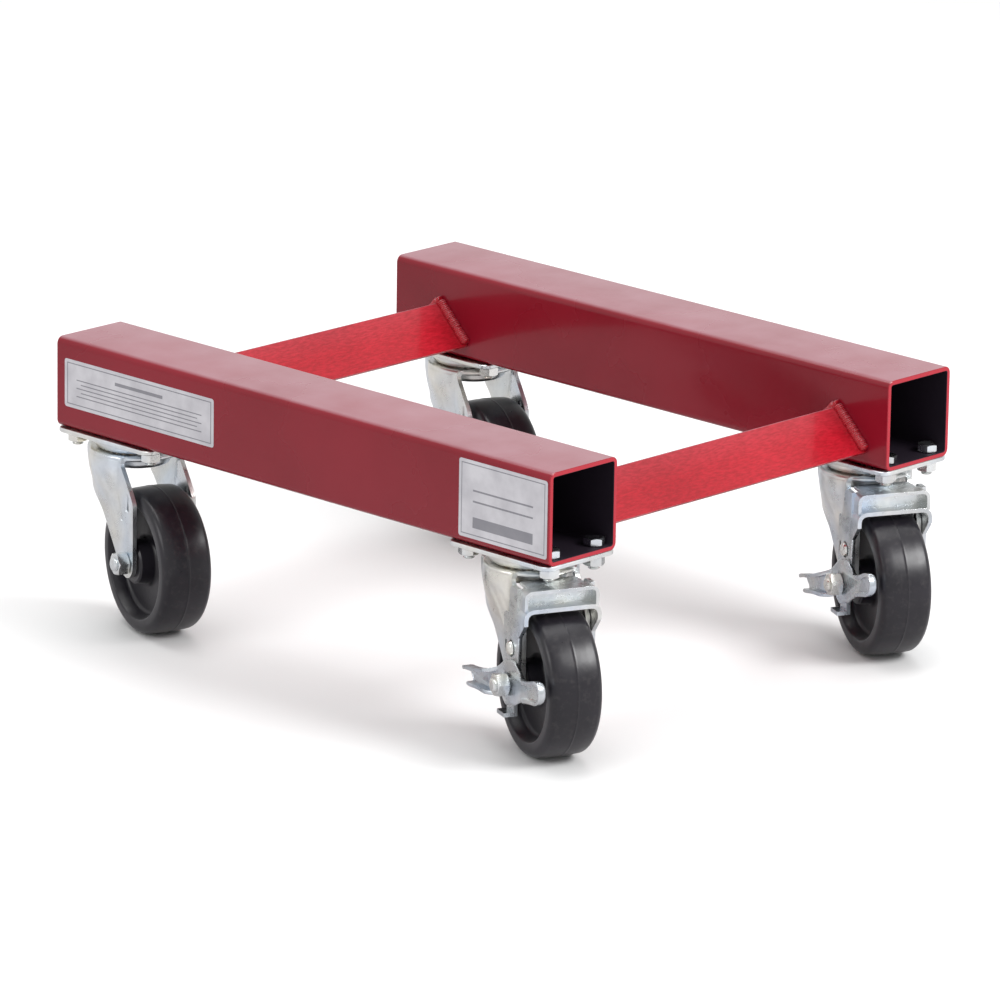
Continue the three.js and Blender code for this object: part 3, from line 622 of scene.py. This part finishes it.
def hexagon(bm, flats, z0, z1, place, axis="Z", bore=0.0):
    """A hex nut or head between two heights, its corners cut back by a cone at both ends."""
    count = 48
    turns = [2 * math.pi * i / count for i in range(count)]
    flat_r = flats / 2 * 0.95
    chamfer = math.tan(math.radians(28))

    def round_ring(radius, height):
        return [place @ spun(turn, radius, height, axis) for turn in turns]

    def six_sided_ring(height, slope):
        radii = [hex_radius(turn, flats) for turn in turns]
        return [place @ spun(turn, r, height + (r - flat_r) * slope, axis) for turn, r in zip(turns, radii)]

    rings = [round_ring(flat_r, z0), six_sided_ring(z0, chamfer), six_sided_ring(z1, -chamfer),
             round_ring(flat_r, z1)]
    if bore:
        rings += [round_ring(bore, z1), round_ring(bore, z0)]
    skin(bm, rings, closed=bool(bore))


def thread_profile(radius, z0, z1, pitch):
    """A rod's side between two heights with a V thread, tip chamfered at z1."""
    depth = 0.55 * pitch
    points = []
    for i in range(int(abs(z1 - z0) / pitch)):
        z = z0 + math.copysign(i * pitch, z1 - z0)
        points += [(radius - depth, z), (radius, z + math.copysign(pitch / 2, z1 - z0))]
    return points + [(radius - depth * 1.6, z1), (0, z1)]


def bolt_scatter_tree():
    """One bolt on each point, each turned at random about its own axis."""
    tree, given, out = geometry_tree("bolt_scatter", [
        ("Bolt", "Object"), ("Seed", "Int"), ("Material", "Material")])
    bolt = add(tree, "GeometryNodeObjectInfo", {"Object": given["Bolt"]})
    turn = add(tree, "FunctionNodeRandomValue", {"Min": (0, 0, 0), "Max": (0, 0, 6.28),
                                                 "Seed": given["Seed"]}, data_type="FLOAT_VECTOR")
    placed = add(tree, "GeometryNodeInstanceOnPoints", {
        "Points": given["Geometry"], "Instance": bolt.outputs["Geometry"], "Rotation": turn.outputs[0]})
    end_tree(tree, out, placed.outputs[0], given["Material"], smooth=False)
    return tree


BOLT_FLATS = 12.7 * MM
BOLT_R = 3.95 * MM
HEAD_SEAT = 3.5 * MM
HEAD_TOP = 8.7 * MM
NUT_TOP = -3.6 * MM
NUT_FOOT = -10.2 * MM
BOLT_FOOT = -13.0 * MM

bm = bmesh.new()
hexagon(bm, BOLT_FLATS, HEAD_SEAT, HEAD_TOP, Matrix.Identity(4))
hexagon(bm, BOLT_FLATS, NUT_FOOT, NUT_TOP, Matrix.Identity(4), bore=BOLT_R + 0.05 * MM)
shank = [(0, HEAD_SEAT + 1 * MM), (BOLT_R, HEAD_SEAT + 1 * MM), (BOLT_R, NUT_FOOT + 1 * MM)]
shank += thread_profile(BOLT_R, NUT_FOOT + 0.6 * MM, BOLT_FOOT, 1.1 * MM)
lathe(bm, shank, 32, Matrix.Identity(4))
bolt_pattern = piece_from("bolt_master", bm, bright_zinc, crease=20)
bolt_scatter = bolt_scatter_tree()

for seed, caster in enumerate(CASTERS):
    nodes = [f"{caster}_bolt_{i}" for i in (1, 2, 3, 4)]
    points = bmesh.new()
    for node in nodes:
        low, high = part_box(node)
        points.verts.new(((low.x + high.x) / 2, (low.y + high.y) / 2, rail_bottom))
    bolts = grown(f"{caster}_mounting_bolts", mesh_from(f"{caster}_bolt_points", points), bolt_scatter, {
        "Bolt": bolt_pattern, "Seed": seed, "Material": bright_zinc})
    enrol(bolts, "frame", nodes)
bpy.data.objects.remove(bolt_pattern)


# ---- Forks ----
# One steel blank pressed into a round crown and two legs. The legs bulge with
# the crown at the top, flatten and narrow to the axle, and have pressed
# stiffening creases. Straw-brown stains of heat and grease show on the crown.

CROWN_R = 32.15 * MM
CROWN_TOP = -10.5 * MM
CROWN_UNDER = -14.1 * MM
CROWN_BORE = 6.5 * MM
CUP_R = 24.0 * MM
CUP_FLOOR = -21.1 * MM
SHEET = 3.0 * MM
LEG_OUT = 23.9 * MM
LEG_END_R = 10.5 * MM
LEG_FRONT = AXLE_X + 10.5 * MM
SHOULDER = -32.9 * MM
BEND_R = 4.5 * MM
LEG_DROP = CROWN_UNDER - AXLE_Z
LEG_STEP = 1.4 * MM
LEG_COLUMNS = 32


def smooth_step(value, low, high):
    """0 below low, 1 above high, eased between."""
    t = min(1.0, max(0.0, (value - low) / (high - low)))
    return t * t * (3 - 2 * t)


def along(points, z):
    """Reads x on a chain of (z, x) points going down, eased round its corners."""
    total = 0.0
    reach = 2.2 * MM
    for shift in (-1, -0.5, 0, 0.5, 1):
        at = z + shift * reach
        for (z0, x0), (z1, x1) in zip(points, points[1:]):
            if at >= z1 or (z1, x1) == points[-1]:
                share = min(1.0, max(0.0, (z0 - at) / (z0 - z1)))
                total += x0 + (x1 - x0) * share
                break
    return total / 5


LEAD_EDGE = [(CROWN_TOP + 4 * MM, -28.5 * MM), (-20 * MM, -28.5 * MM), (-30 * MM, -25 * MM),
             (-41 * MM, -17 * MM), (-54 * MM, -4 * MM), (AXLE_Z - 7.4 * MM, AXLE_X - 7.4 * MM),
             (AXLE_Z - 20 * MM, AXLE_X + 3 * MM)]
TRAIL_EDGE = [(CROWN_TOP + 4 * MM, 23 * MM), (-16 * MM, 24.5 * MM), (SHOULDER, 40 * MM),
              (SHOULDER - 6 * MM, LEG_FRONT), (AXLE_Z - 20 * MM, LEG_FRONT)]


def leg_span(z):
    """The leg's two edges at height z, closing round the axle at the bottom."""
    lead, trail = along(LEAD_EDGE, z), along(TRAIL_EDGE, z)
    if z < AXLE_Z:
        half = math.sqrt(max(1e-10, LEG_END_R ** 2 - (z - AXLE_Z) ** 2))
        trail = min(trail, AXLE_X + half)
        lead = max(lead, AXLE_X - half)
    return lead, trail


def leg_face(x, z):
    """Distance of the leg's outer face from the caster's middle plane."""
    round_part = math.sqrt(max(0.0, (CROWN_R - SHEET) ** 2 - x * x)) + SHEET - LEG_OUT
    down = (CROWN_UNDER - z) / LEG_DROP
    fade = 1 - smooth_step(down, 0.06, 0.62)
    beside = abs(x - (6 * MM + 28 * MM * down))
    crease = smooth_step(beside, 4.2 * MM, 6.0 * MM) - 1
    depth = 0.75 * MM * smooth_step(down, 0.08, 0.2) * (1 - smooth_step(down, 0.55, 0.75))
    return LEG_OUT + max(0.0, round_part) * fade + crease * depth


def leg_rows():
    """Heights down the leg: the bend over the crown's rim, then the face."""
    rows = [("flat", inset) for inset in (13 * MM, 9 * MM)]
    rows += [("bend", angle) for angle in range(0, 91, 15)]
    start = CROWN_TOP - BEND_R
    rows += [("face", start - LEG_STEP * i) for i in range(1, int((start - AXLE_Z) / LEG_STEP))]
    rows += [("face", AXLE_Z - LEG_END_R * math.sin(math.radians(a))) for a in range(0, 85, 7)]
    return rows + [("face", AXLE_Z - LEG_END_R * 0.9995)]


def leg_point(row, share, side, inner):
    """A point of the leg's outer skin, or of its inner skin one sheet in."""
    kind, amount = row
    depth = SHEET if inner else 0.0
    z_edge = CROWN_TOP - BEND_R if kind != "face" else amount
    lead, trail = leg_span(z_edge)
    x = lead + (trail - lead) * share
    face = leg_face(x, z_edge)
    if kind == "face":
        return Vector((x, side * (face - depth), amount))
    if kind == "bend":
        out, up = spun(math.radians(90 - amount), BEND_R - depth, 0, "Z").xy
        return Vector((x, side * (face - BEND_R + out), CROWN_TOP - BEND_R + up))
    return Vector((x, side * (face - BEND_R - amount), CROWN_TOP - depth))


def leg(bm, side):
    """One pressed leg as a closed sheet."""
    rows = leg_rows()
    outer, inner = [[[bm.verts.new(leg_point(row, i / LEG_COLUMNS, side, inside))
                      for i in range(LEG_COLUMNS + 1)] for row in rows] for inside in (False, True)]
    for j in range(len(rows) - 1):
        for i in range(LEG_COLUMNS):
            bm.faces.new((outer[j][i], outer[j][i + 1], outer[j + 1][i + 1], outer[j + 1][i]))
            bm.faces.new((inner[j][i], inner[j + 1][i], inner[j + 1][i + 1], inner[j][i + 1]))
        for i in (0, LEG_COLUMNS):
            bm.faces.new((outer[j][i], outer[j + 1][i], inner[j + 1][i], inner[j][i]))
    for j in (0, len(rows) - 1):
        for i in range(LEG_COLUMNS):
            bm.faces.new((outer[j][i], outer[j][i + 1], inner[j][i + 1], inner[j][i]))


def opened(piece, outline):
    """Cuts an opening of that outline through both legs of the piece."""
    bm = bmesh.new()
    skin(bm, [[Vector((x, y, z)) for x, z in outline] for y in (-40 * MM, 40 * MM)])
    tool = piece_from("cutter", bm, pressed_zinc)
    cut = piece.modifiers.new("cut", "BOOLEAN")
    cut.operation = "DIFFERENCE"
    cut.solver = "EXACT"
    cut.use_self = True
    cut.object = tool
    plain = worked_mesh(piece)
    piece.modifiers.clear()
    piece.data = plain
    bpy.data.objects.remove(tool)


def stain(at):
    """How far heat and grease have browned the zinc: along the crown and above the axle."""
    crown = 1 - smooth_step(abs(at.z - CROWN_TOP + 6 * MM), 1.2 * MM, 3.6 * MM)
    below = 1 - smooth_step(CROWN_TOP - at.z, 9 * MM, 22 * MM)
    axle = 1 - smooth_step(abs(at.z - AXLE_Z - 17 * MM), 2 * MM, 8 * MM)
    return max(1.9 * crown, 0.30 * below, 0.9 * axle)


crown_face = CROWN_TOP - 0.06 * MM
crown = [(CROWN_BORE, crown_face), (CROWN_R - 2.2 * MM, crown_face)]
crown += arc_points((CROWN_R - 2.2 * MM, crown_face - 1.8 * MM), 1.8 * MM, 80, -80, 8)
crown += [(CUP_R + 1.5 * MM, CROWN_UNDER)]
crown += arc_points((CUP_R + 1.5 * MM, CROWN_UNDER - 1.5 * MM), 1.5 * MM, 90, 178, 4)
crown += arc_points((CUP_R - 3 * MM, CUP_FLOOR + 3 * MM), 3 * MM, 0, -88, 6)
crown += [(15.5 * MM, CUP_FLOOR), (14.5 * MM, CUP_FLOOR + 1.6 * MM), (CROWN_BORE, CUP_FLOOR + 1.6 * MM),
          (CROWN_BORE, crown_face)]
SLOT_Z = SHOULDER - 6.8 * MM

bm = bmesh.new()
lathe(bm, crown, 96, Matrix.Identity(4))
leg(bm, 1)
leg(bm, -1)
fork_pattern = piece_from("fork_master", bm, pressed_zinc)
slot = arc_points((AXLE_X + 1.5 * MM, SLOT_Z - 5 * MM), 2.2 * MM, 180, 360, 6)
slot += arc_points((AXLE_X + 1.5 * MM, SLOT_Z + 5 * MM), 0.9 * MM, 0, 180, 5)
opened(fork_pattern, slot)
opened(fork_pattern, arc_points((AXLE_X - 8 * MM, AXLE_Z + 29 * MM), 1.6 * MM, 0, 340, 17))
mark(fork_pattern.data, "heat", stain)

for caster in CASTERS:
    fork = in_scene(f"{caster}_swivel_fork", fork_pattern.data.copy())
    fork.data.transform(fork_place[caster])
    enrol(fork, f"{caster}_swivel", [f"{caster}_fork"])
bpy.data.objects.remove(fork_pattern)


# ---- Axles ----
# A hex head bolt carries each wheel on a plain steel sleeve. The threaded end
# stands out past the nut on the lever side.

AXLE_R = 4.75 * MM
AXLE_FLATS = 14.3 * MM
AXLE_HEAD = 5.4 * MM
NUT_TURN = 0.35
AXLE = Matrix.Translation((AXLE_X, 0, AXLE_Z))


def points_of(node, place):
    """A CAD node's points, as seen from that place."""
    back = place.inverted()
    return [back @ vertex.co for vertex in frame["nodes"][node].data.vertices]


def reach(node, place):
    """The lowest and highest place of a node along the axle."""
    spots = [point.y for point in points_of(node, place)]
    return min(spots), max(spots)


for caster in CASTERS:
    place = fork_place[caster] @ AXLE
    tip, head_top = reach(f"{caster}_axle_bolt", place)
    nut_out, nut_in = reach(f"{caster}_axle_nut", place)
    bm = bmesh.new()
    hexagon(bm, AXLE_FLATS, head_top - AXLE_HEAD, head_top, place, axis="Y")
    shank = [(0, head_top - 1 * MM), (AXLE_R, head_top - 1 * MM), (AXLE_R, nut_in)]
    shank += thread_profile(AXLE_R, nut_in, tip, 1.3 * MM)
    lathe(bm, shank, 40, place, axis="Y")
    bolt = piece_from(f"{caster}_axle_bolt_turned", bm, bright_zinc, crease=20)
    enrol(bolt, f"{caster}_swivel", [f"{caster}_axle_bolt"])
    bm = bmesh.new()
    hexagon(bm, AXLE_FLATS, nut_out, nut_in, place @ Matrix.Rotation(NUT_TURN, 4, "Y"), axis="Y",
            bore=AXLE_R + 0.1 * MM)
    nut = piece_from(f"{caster}_axle_hex_nut", bm, bright_zinc, crease=20)
    enrol(nut, f"{caster}_swivel", [f"{caster}_axle_nut"])
    sleeve_in, sleeve_out = reach(f"{caster}_axle_sleeve", place)
    bm = bmesh.new()
    bore, outside = AXLE_R + 0.3 * MM, AXLE_R + 3.4 * MM
    lathe(bm, [(bore, sleeve_in), (outside - 0.4 * MM, sleeve_in), (outside, sleeve_in + 0.4 * MM),
               (outside, sleeve_out - 0.4 * MM), (outside - 0.4 * MM, sleeve_out), (bore, sleeve_out),
               (bore, sleeve_in)], 40, place, axis="Y")
    sleeve = piece_from(f"{caster}_axle_bush", bm, ball_steel)
    enrol(sleeve, f"{caster}_swivel", [f"{caster}_axle_sleeve"])


# ---- Wheels ----
# Moulded in one piece from hard black rubber: a slightly crowned tread with a
# fine parting line, round shoulders, and dished sides round a long hub.

def hard_rubber():
    """Black rubber with a soft purple-grey sheen, scuffed and powdered with grit where it rolls."""
    material, tree, shader = new_material("hard_black_rubber")
    mottle = noise(tree, 38.0, 6.0)
    scuff = noise(tree, 210.0, 8.0, Roughness=0.7)
    tread = add(tree, "ShaderNodeAttribute", attribute_name="tread").outputs["Fac"]
    body = ramp(tree, mottle, 0.3, 0.7, ((0.0045, 0.0035, 0.007, 1), (0.010, 0.008, 0.013, 1)))
    worn = ramp(tree, scuff, 0.52, 0.74)
    mask = maths(tree, "MULTIPLY", maths(tree, "MULTIPLY", worn, tread), 0.16)
    scuffed = mixed(tree, mask, body, (0.13, 0.115, 0.11, 1))
    feed(tree, shader, {"Base Color": scuffed, "Roughness": scaled(tree, scuff, 0.27, 0.38, 0.3, 0.7),
                        "Normal": bumped(tree, mottle, 0.12, 0.0006),
                        "Sheen Weight": 0.15, "Sheen Roughness": 0.4})
    return material


rubber = hard_rubber()
HUB_BORE = 8.45 * MM
HUB_R = 15.0 * MM
DISH_Y = 6.5 * MM


def wheel_side(radius, half, hub):
    """Half of the wheel's section, from the bore out to the tread's middle."""
    side = [(HUB_BORE, hub), (HUB_R - 1.2 * MM, hub), (HUB_R, hub - 1.2 * MM)]
    side += arc_points((HUB_R + 4 * MM, DISH_Y + 4 * MM), 3.2 * MM, 190, 268, 5)
    side += arc_points((radius - 15.5 * MM, DISH_Y + 4 * MM), 3.2 * MM, 272, 345, 5)
    side += arc_points((radius - 9.6 * MM, half - 1.4 * MM), 1.4 * MM, 150, 90, 3)
    side += arc_points((radius - 6 * MM, half - 5.4 * MM), 5.4 * MM, 88, 12, 8)
    return side + [(radius - 0.25 * MM, half * 0.45), (radius - 0.08 * MM, 1.6 * MM),
                   (radius - 0.05 * MM, 0.5 * MM)]


for caster in CASTERS:
    low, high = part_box(f"{caster}_wheel")
    place = fork_place[caster] @ AXLE
    back = place.inverted()
    radius = (high.z - low.z) / 2
    spots = points_of(f"{caster}_wheel", place)
    hub = max(spot.y for spot in spots)
    half = max(spot.y for spot in spots if math.hypot(spot.x, spot.z) > radius * 0.8)
    side = wheel_side(radius, half, hub)
    profile = side + [(radius + 0.12 * MM, 0)] + [(r, -y) for r, y in reversed(side)] + side[:1]
    bm = bmesh.new()
    lathe(bm, profile, 128, place, axis="Y")
    wheel = piece_from(f"{caster}_rubber_wheel", bm, rubber)
    mark(wheel.data, "tread",
         lambda at: smooth_step((back @ at).xz.length, radius - 7 * MM, radius - 1 * MM))
    enrol(wheel, f"{caster}_wheel", [f"{caster}_wheel"])


# ---- Brakes ----
# Pressed steel saddles straddle the front wheels and slide on a rivet. A foot
# lever on the axle cams the saddle down onto the tread. Both are bluish zinc.

brake_zinc = zinc_plate("blue_zinc_on_sheet", (0.60, 0.64, 0.70, 1), (0.86, 0.89, 0.94, 1), 0.27)


def softened(name, node, material, width):
    """A CAD solid with its faces joined and its sharp edges rolled over."""
    bm = bmesh.new()
    bm.from_mesh(frame["nodes"][node].data)
    bmesh.ops.remove_doubles(bm, verts=bm.verts, dist=2e-6)
    bmesh.ops.dissolve_limit(bm, angle_limit=math.radians(1.5), verts=bm.verts, edges=bm.edges)
    piece = piece_from(name, bm, material, crease=50)
    roll = piece.modifiers.new("rolled_edges", "BEVEL")
    roll.width = width
    roll.segments = 2
    roll.limit_method = "ANGLE"
    roll.angle_limit = math.radians(32)
    return piece


BRAKED = ("front_left", "front_right")
LEVER_TILT = {"front_left": 11, "front_right": 16}
LEVER_SHEET = 2.6 * MM
BEND_IN = 1.0 * MM
RIM_CROWN = 0.3 * MM
# The flat lever before folding, in millimetres from the axle, foot end at +x.
LEVER_OUTLINE = [
    (-54, -6.2), (-40, -6.6), (-26, -8.5), (-16, -9.5), (-10.5, -7), (-8, -11), (-3, -14.5), (3, -13.2),
    (7, -12.4), (12.5, -13.6), (19, -11), (27, -9.5), (44, -8.4), (59, -9.0), (64.5, -5), (65.5, 0),
    (64.5, 5), (59, 8), (44, 5.6), (29, 6), (22, 12), (16, 16), (9, 17.2), (1, 16.5), (-8, 12.5), (-17, 9.3),
    (-30, 7.4), (-48, 6.8), (-60, 7.6), (-64.5, 6.0), (-60.5, 0.5), (-58, -4.5),
]


def smooth_loop(points, rounds):
    """Cuts the corners of a closed loop that many times."""
    for _ in range(rounds):
        cut = []
        for i, (x, z) in enumerate(points):
            nx, nz = points[(i + 1) % len(points)]
            cut += [(x + (nx - x) * share, z + (nz - z) * share) for share in (0.25, 0.75)]
        points = cut
    return points


def flange_depth(x, out_x):
    """How far the pedal's edge is folded outward at x, for an edge that looks along out_x."""
    if x < 0:
        return 6.0 * MM * smooth_step(-x, 13, 27) * (1 - smooth_step(-out_x, 0.55, 0.85))
    return 3.4 * MM * smooth_step(x, 24, 36)


def lever_rings(face_in):
    """Rings of points from the web's outer face over the folded edge to its inner face."""
    loop = smooth_loop(LEVER_OUTLINE, 3)
    face_out = face_in - LEVER_SHEET
    rings = [[] for _ in range(12)]
    for i, (x, z) in enumerate(loop):
        (x0, z0), (x1, z1) = loop[i - 1], loop[(i + 1) % len(loop)]
        length = math.hypot(x1 - x0, z1 - z0)
        in_x, in_z = -(z1 - z0) / length, (x1 - x0) / length
        depth = flange_depth(x, -in_x)
        tuck = 1 - 0.85 * smooth_step(-x, 40, 50) * smooth_step(in_x, 0.4, 0.8)
        fold = min(BEND_IN, depth)
        root = min(BEND_IN + LEVER_SHEET, depth + LEVER_SHEET - 0.4 * MM)
        rim = face_out - depth
        steps = [(LEVER_SHEET + BEND_IN, face_out), (LEVER_SHEET + 0.3 * BEND_IN, face_out - 0.3 * fold),
                 (LEVER_SHEET, face_out - fold), (LEVER_SHEET, rim), (0.75 * LEVER_SHEET, rim - RIM_CROWN),
                 (0.25 * LEVER_SHEET, rim - RIM_CROWN), (0.0, rim), (0.0, face_in - root)]
        steps += [(root * (1 - math.cos(turn)), face_in - root * (1 - math.sin(turn)))
                  for turn in map(math.radians, (25, 50, 75, 90))]
        for ring, (inset, y) in zip(rings, steps):
            ring.append(Vector((x * MM + in_x * inset * tuck, y, z * MM + in_z * inset * tuck)))
    return rings


# The saddle's pressed roof reaches forward to the tray as a round-cornered lip.
SADDLE_ROOF = -15.48 * MM
LIP_X = 36.5 * MM
LIP_LONG = 8.5 * MM
LIP_WIDE = 20.5 * MM

for caster in BRAKED:
    place = fork_place[caster]
    saddle = softened(f"{caster}_brake_yoke", f"{caster}_brake_saddle", brake_zinc, 0.45 * MM)
    bm = bmesh.new()
    bm.from_mesh(saddle.data)
    levels = [(0.5 * MM, 0), (0, 0.5 * MM), (0, 1.7 * MM), (0.5 * MM, 2.2 * MM)]
    skin(bm, [[place @ Vector((LIP_X + x, y, SADDLE_ROOF - drop)) for x, y in
               round_rectangle(LIP_LONG - inset, LIP_WIDE - inset, 3 * MM)] for inset, drop in levels])
    bmesh.ops.recalc_face_normals(bm, faces=bm.faces)
    bm.to_mesh(saddle.data)
    bm.free()
    enrol(saddle, f"{caster}_saddle", [f"{caster}_brake_saddle"])
    web_in = reach(f"{caster}_brake_lever", place)[1]
    bm = bmesh.new()
    skin(bm, lever_rings(web_in))
    pedal = piece_from(f"{caster}_foot_lever", bm, brake_zinc)
    pedal.data.transform(AXLE @ Matrix.Rotation(-math.radians(LEVER_TILT[caster]), 4, "Y"))
    opened(pedal, arc_points((AXLE_X, AXLE_Z), AXLE_R + 0.25 * MM, 0, 350, 35))
    pedal.data.transform(place)
    enrol(pedal, f"{caster}_lever", [f"{caster}_brake_lever"])
    rivet = softened(f"{caster}_guide_rivet", f"{caster}_brake_rivet", bright_zinc, 0.3 * MM)
    enrol(rivet, f"{caster}_swivel", [f"{caster}_brake_rivet"])


# ---- Stickers ----
# Silver vinyl stickers on the left rail's outer face: a long one ruled with
# plain lines near the unbraked end, and a bordered one with a band near the
# braked end.

def silver_vinyl(name, border, bars):
    """Silver printed film with a grey border line and plain grey bars at those heights."""
    material, tree, shader = new_material(name)
    uv = add(tree, "ShaderNodeUVMap", uv_map="UVMap").outputs[0]
    spot = add(tree, "ShaderNodeSeparateXYZ", {0: uv})

    def near(axis, middle, half):
        off = add(tree, "ShaderNodeMath", {0: spot.outputs[axis], 1: middle}, operation="SUBTRACT")
        return maths(tree, "LESS_THAN", maths(tree, "ABSOLUTE", off.outputs[0]), half)

    def block(middle, half_width, half_height):
        return maths(tree, "MULTIPLY", near("X", 0.5, half_width), near("Y", middle, half_height))

    print_x, print_y = border
    ink = maths(tree, "SUBTRACT", block(0.5, 0.5 - 3 * print_x, 0.5 - 3 * print_y),
                block(0.5, 0.5 - 4 * print_x, 0.5 - 4 * print_y))
    for middle, half_width, half_height in bars:
        ink = maths(tree, "MAXIMUM", ink, block(middle, half_width, half_height))
    wrinkle = noise(tree, 70.0, 3.0)
    grain = ramp(tree, wrinkle, 0.3, 0.7, ((0.44, 0.43, 0.46, 1), (0.56, 0.55, 0.58, 1)))
    printed = mixed(tree, maths(tree, "MULTIPLY", ink, 0.7), grain, (0.10, 0.10, 0.12, 1))
    feed(tree, shader, {"Base Color": printed, "Roughness": scaled(tree, wrinkle, 0.25, 0.45),
                        "Normal": bumped(tree, wrinkle, 0.12, 0.001), "Metallic": 0.15})
    return material


FILM = 0.12 * MM


def sticker(name, face_x, y0, y1, z0, z1, material):
    """A thin film with round corners on a face that looks along -x, with its UVs laid flat."""
    cy, cz = (y0 + y1) / 2, (z0 + z1) / 2
    outline = round_rectangle((y1 - y0) / 2, (z1 - z0) / 2, 2.0 * MM)
    bm = bmesh.new()
    skin(bm, [[Vector((x, cy + y, cz + z)) for y, z in outline] for x in (face_x, face_x - FILM)])
    layer = bm.loops.layers.uv.new("UVMap")
    for face in bm.faces:
        for loop in face.loops:
            at = loop.vert.co
            loop[layer].uv = ((at.y - y0) / (y1 - y0), (at.z - z0) / (z1 - z0))
    film = piece_from(name, bm, material)
    enrol(film, "frame", [])


RULED = [(0.74, 0.16, 0.035)] + [(0.60 - 0.085 * i, 0.42 - 0.03 * (i % 2), 0.012) for i in range(5)]
BANDED = [(0.21, 0.34, 0.07), (0.62, 0.34, 0.012), (0.48, 0.34, 0.012)]
rail_low, rail_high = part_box("left_rail")
ruled_vinyl = silver_vinyl("silver_vinyl_ruled", (0.0055, 0.022), RULED)
sticker("long_sticker", rail_low.x, rail_high.y - 155 * MM, rail_high.y - 8 * MM,
        rail_low.z + 16 * MM, rail_high.z - 13.5 * MM, ruled_vinyl)
banded_vinyl = silver_vinyl("silver_vinyl_banded", (0.009, 0.014), BANDED)
sticker("banded_sticker", rail_low.x, rail_low.y + 2 * MM, rail_low.y + 82 * MM,
        rail_low.z + 5 * MM, rail_high.z - 5.5 * MM, banded_vinyl)


# ---- Studio ----
# A plain pale floor under soft light: one broad light high over the braked
# end, a weaker one from the left and a wide ceiling light.

def pale_floor():
    """Smooth pale studio floor with the faintest mottling, dimmer in reflections."""
    material, tree, shader = new_material("pale_floor")
    pale = ramp(tree, noise(tree, 3.0, 3.0), 0.3, 0.7, ((0.80, 0.80, 0.80, 1), (0.84, 0.84, 0.84, 1)))
    mirrored = add(tree, "ShaderNodeLightPath").outputs["Is Glossy Ray"]
    feed(tree, shader, {"Base Color": mixed(tree, mirrored, pale, (0.48, 0.47, 0.48, 1)), "Roughness": 0.6})
    return material


bm = bmesh.new()
bmesh.ops.create_grid(bm, x_segments=8, y_segments=8, size=9.0)
floor = piece_from("studio_floor", bm, pale_floor())

world = bpy.data.worlds.new("studio_air")
bpy.context.scene.world = world
world.use_nodes = True
feed(world.node_tree, world.node_tree.nodes["Background"], {"Color": (1.0, 1.0, 1.0, 1), "Strength": 0.75})

centre = Vector((0.018, 0.018, 0.091))


def soft_light(name, place, size, watts):
    """A square area light aimed at the dolly."""
    data = bpy.data.lights.new(name, "AREA")
    data.shape = "RECTANGLE"
    data.size, data.size_y = size
    data.energy = watts
    light = in_scene(name, data)
    light.location = place
    light.rotation_euler = (centre - Vector(place)).to_track_quat("-Z", "Y").to_euler()


soft_light("key_over_braked_end", (0.9, -2.6, 2.2), (1.6, 1.2), 85)
soft_light("fill_from_left", (-3.0, 0.6, 1.6), (1.6, 1.2), 18)
soft_light("ceiling", (0.2, 0.6, 3.0), (2.6, 2.6), 55)

camera_data = bpy.data.cameras.new("camera")
camera_data.sensor_width = 36.0
camera_data.lens = 283.0
camera_data.clip_end = 40.0
camera = in_scene("camera", camera_data)
camera.location = (-3.723, -3.572, 1.592)
aim = (centre - camera.location).to_track_quat("-Z", "Y").to_matrix().to_4x4()
roll = Matrix.Rotation(math.radians(0.9), 4, "Z")
camera.rotation_euler = (aim @ roll).to_euler()
bpy.context.scene.camera = camera
bpy.context.scene.view_settings.view_transform = "Standard"
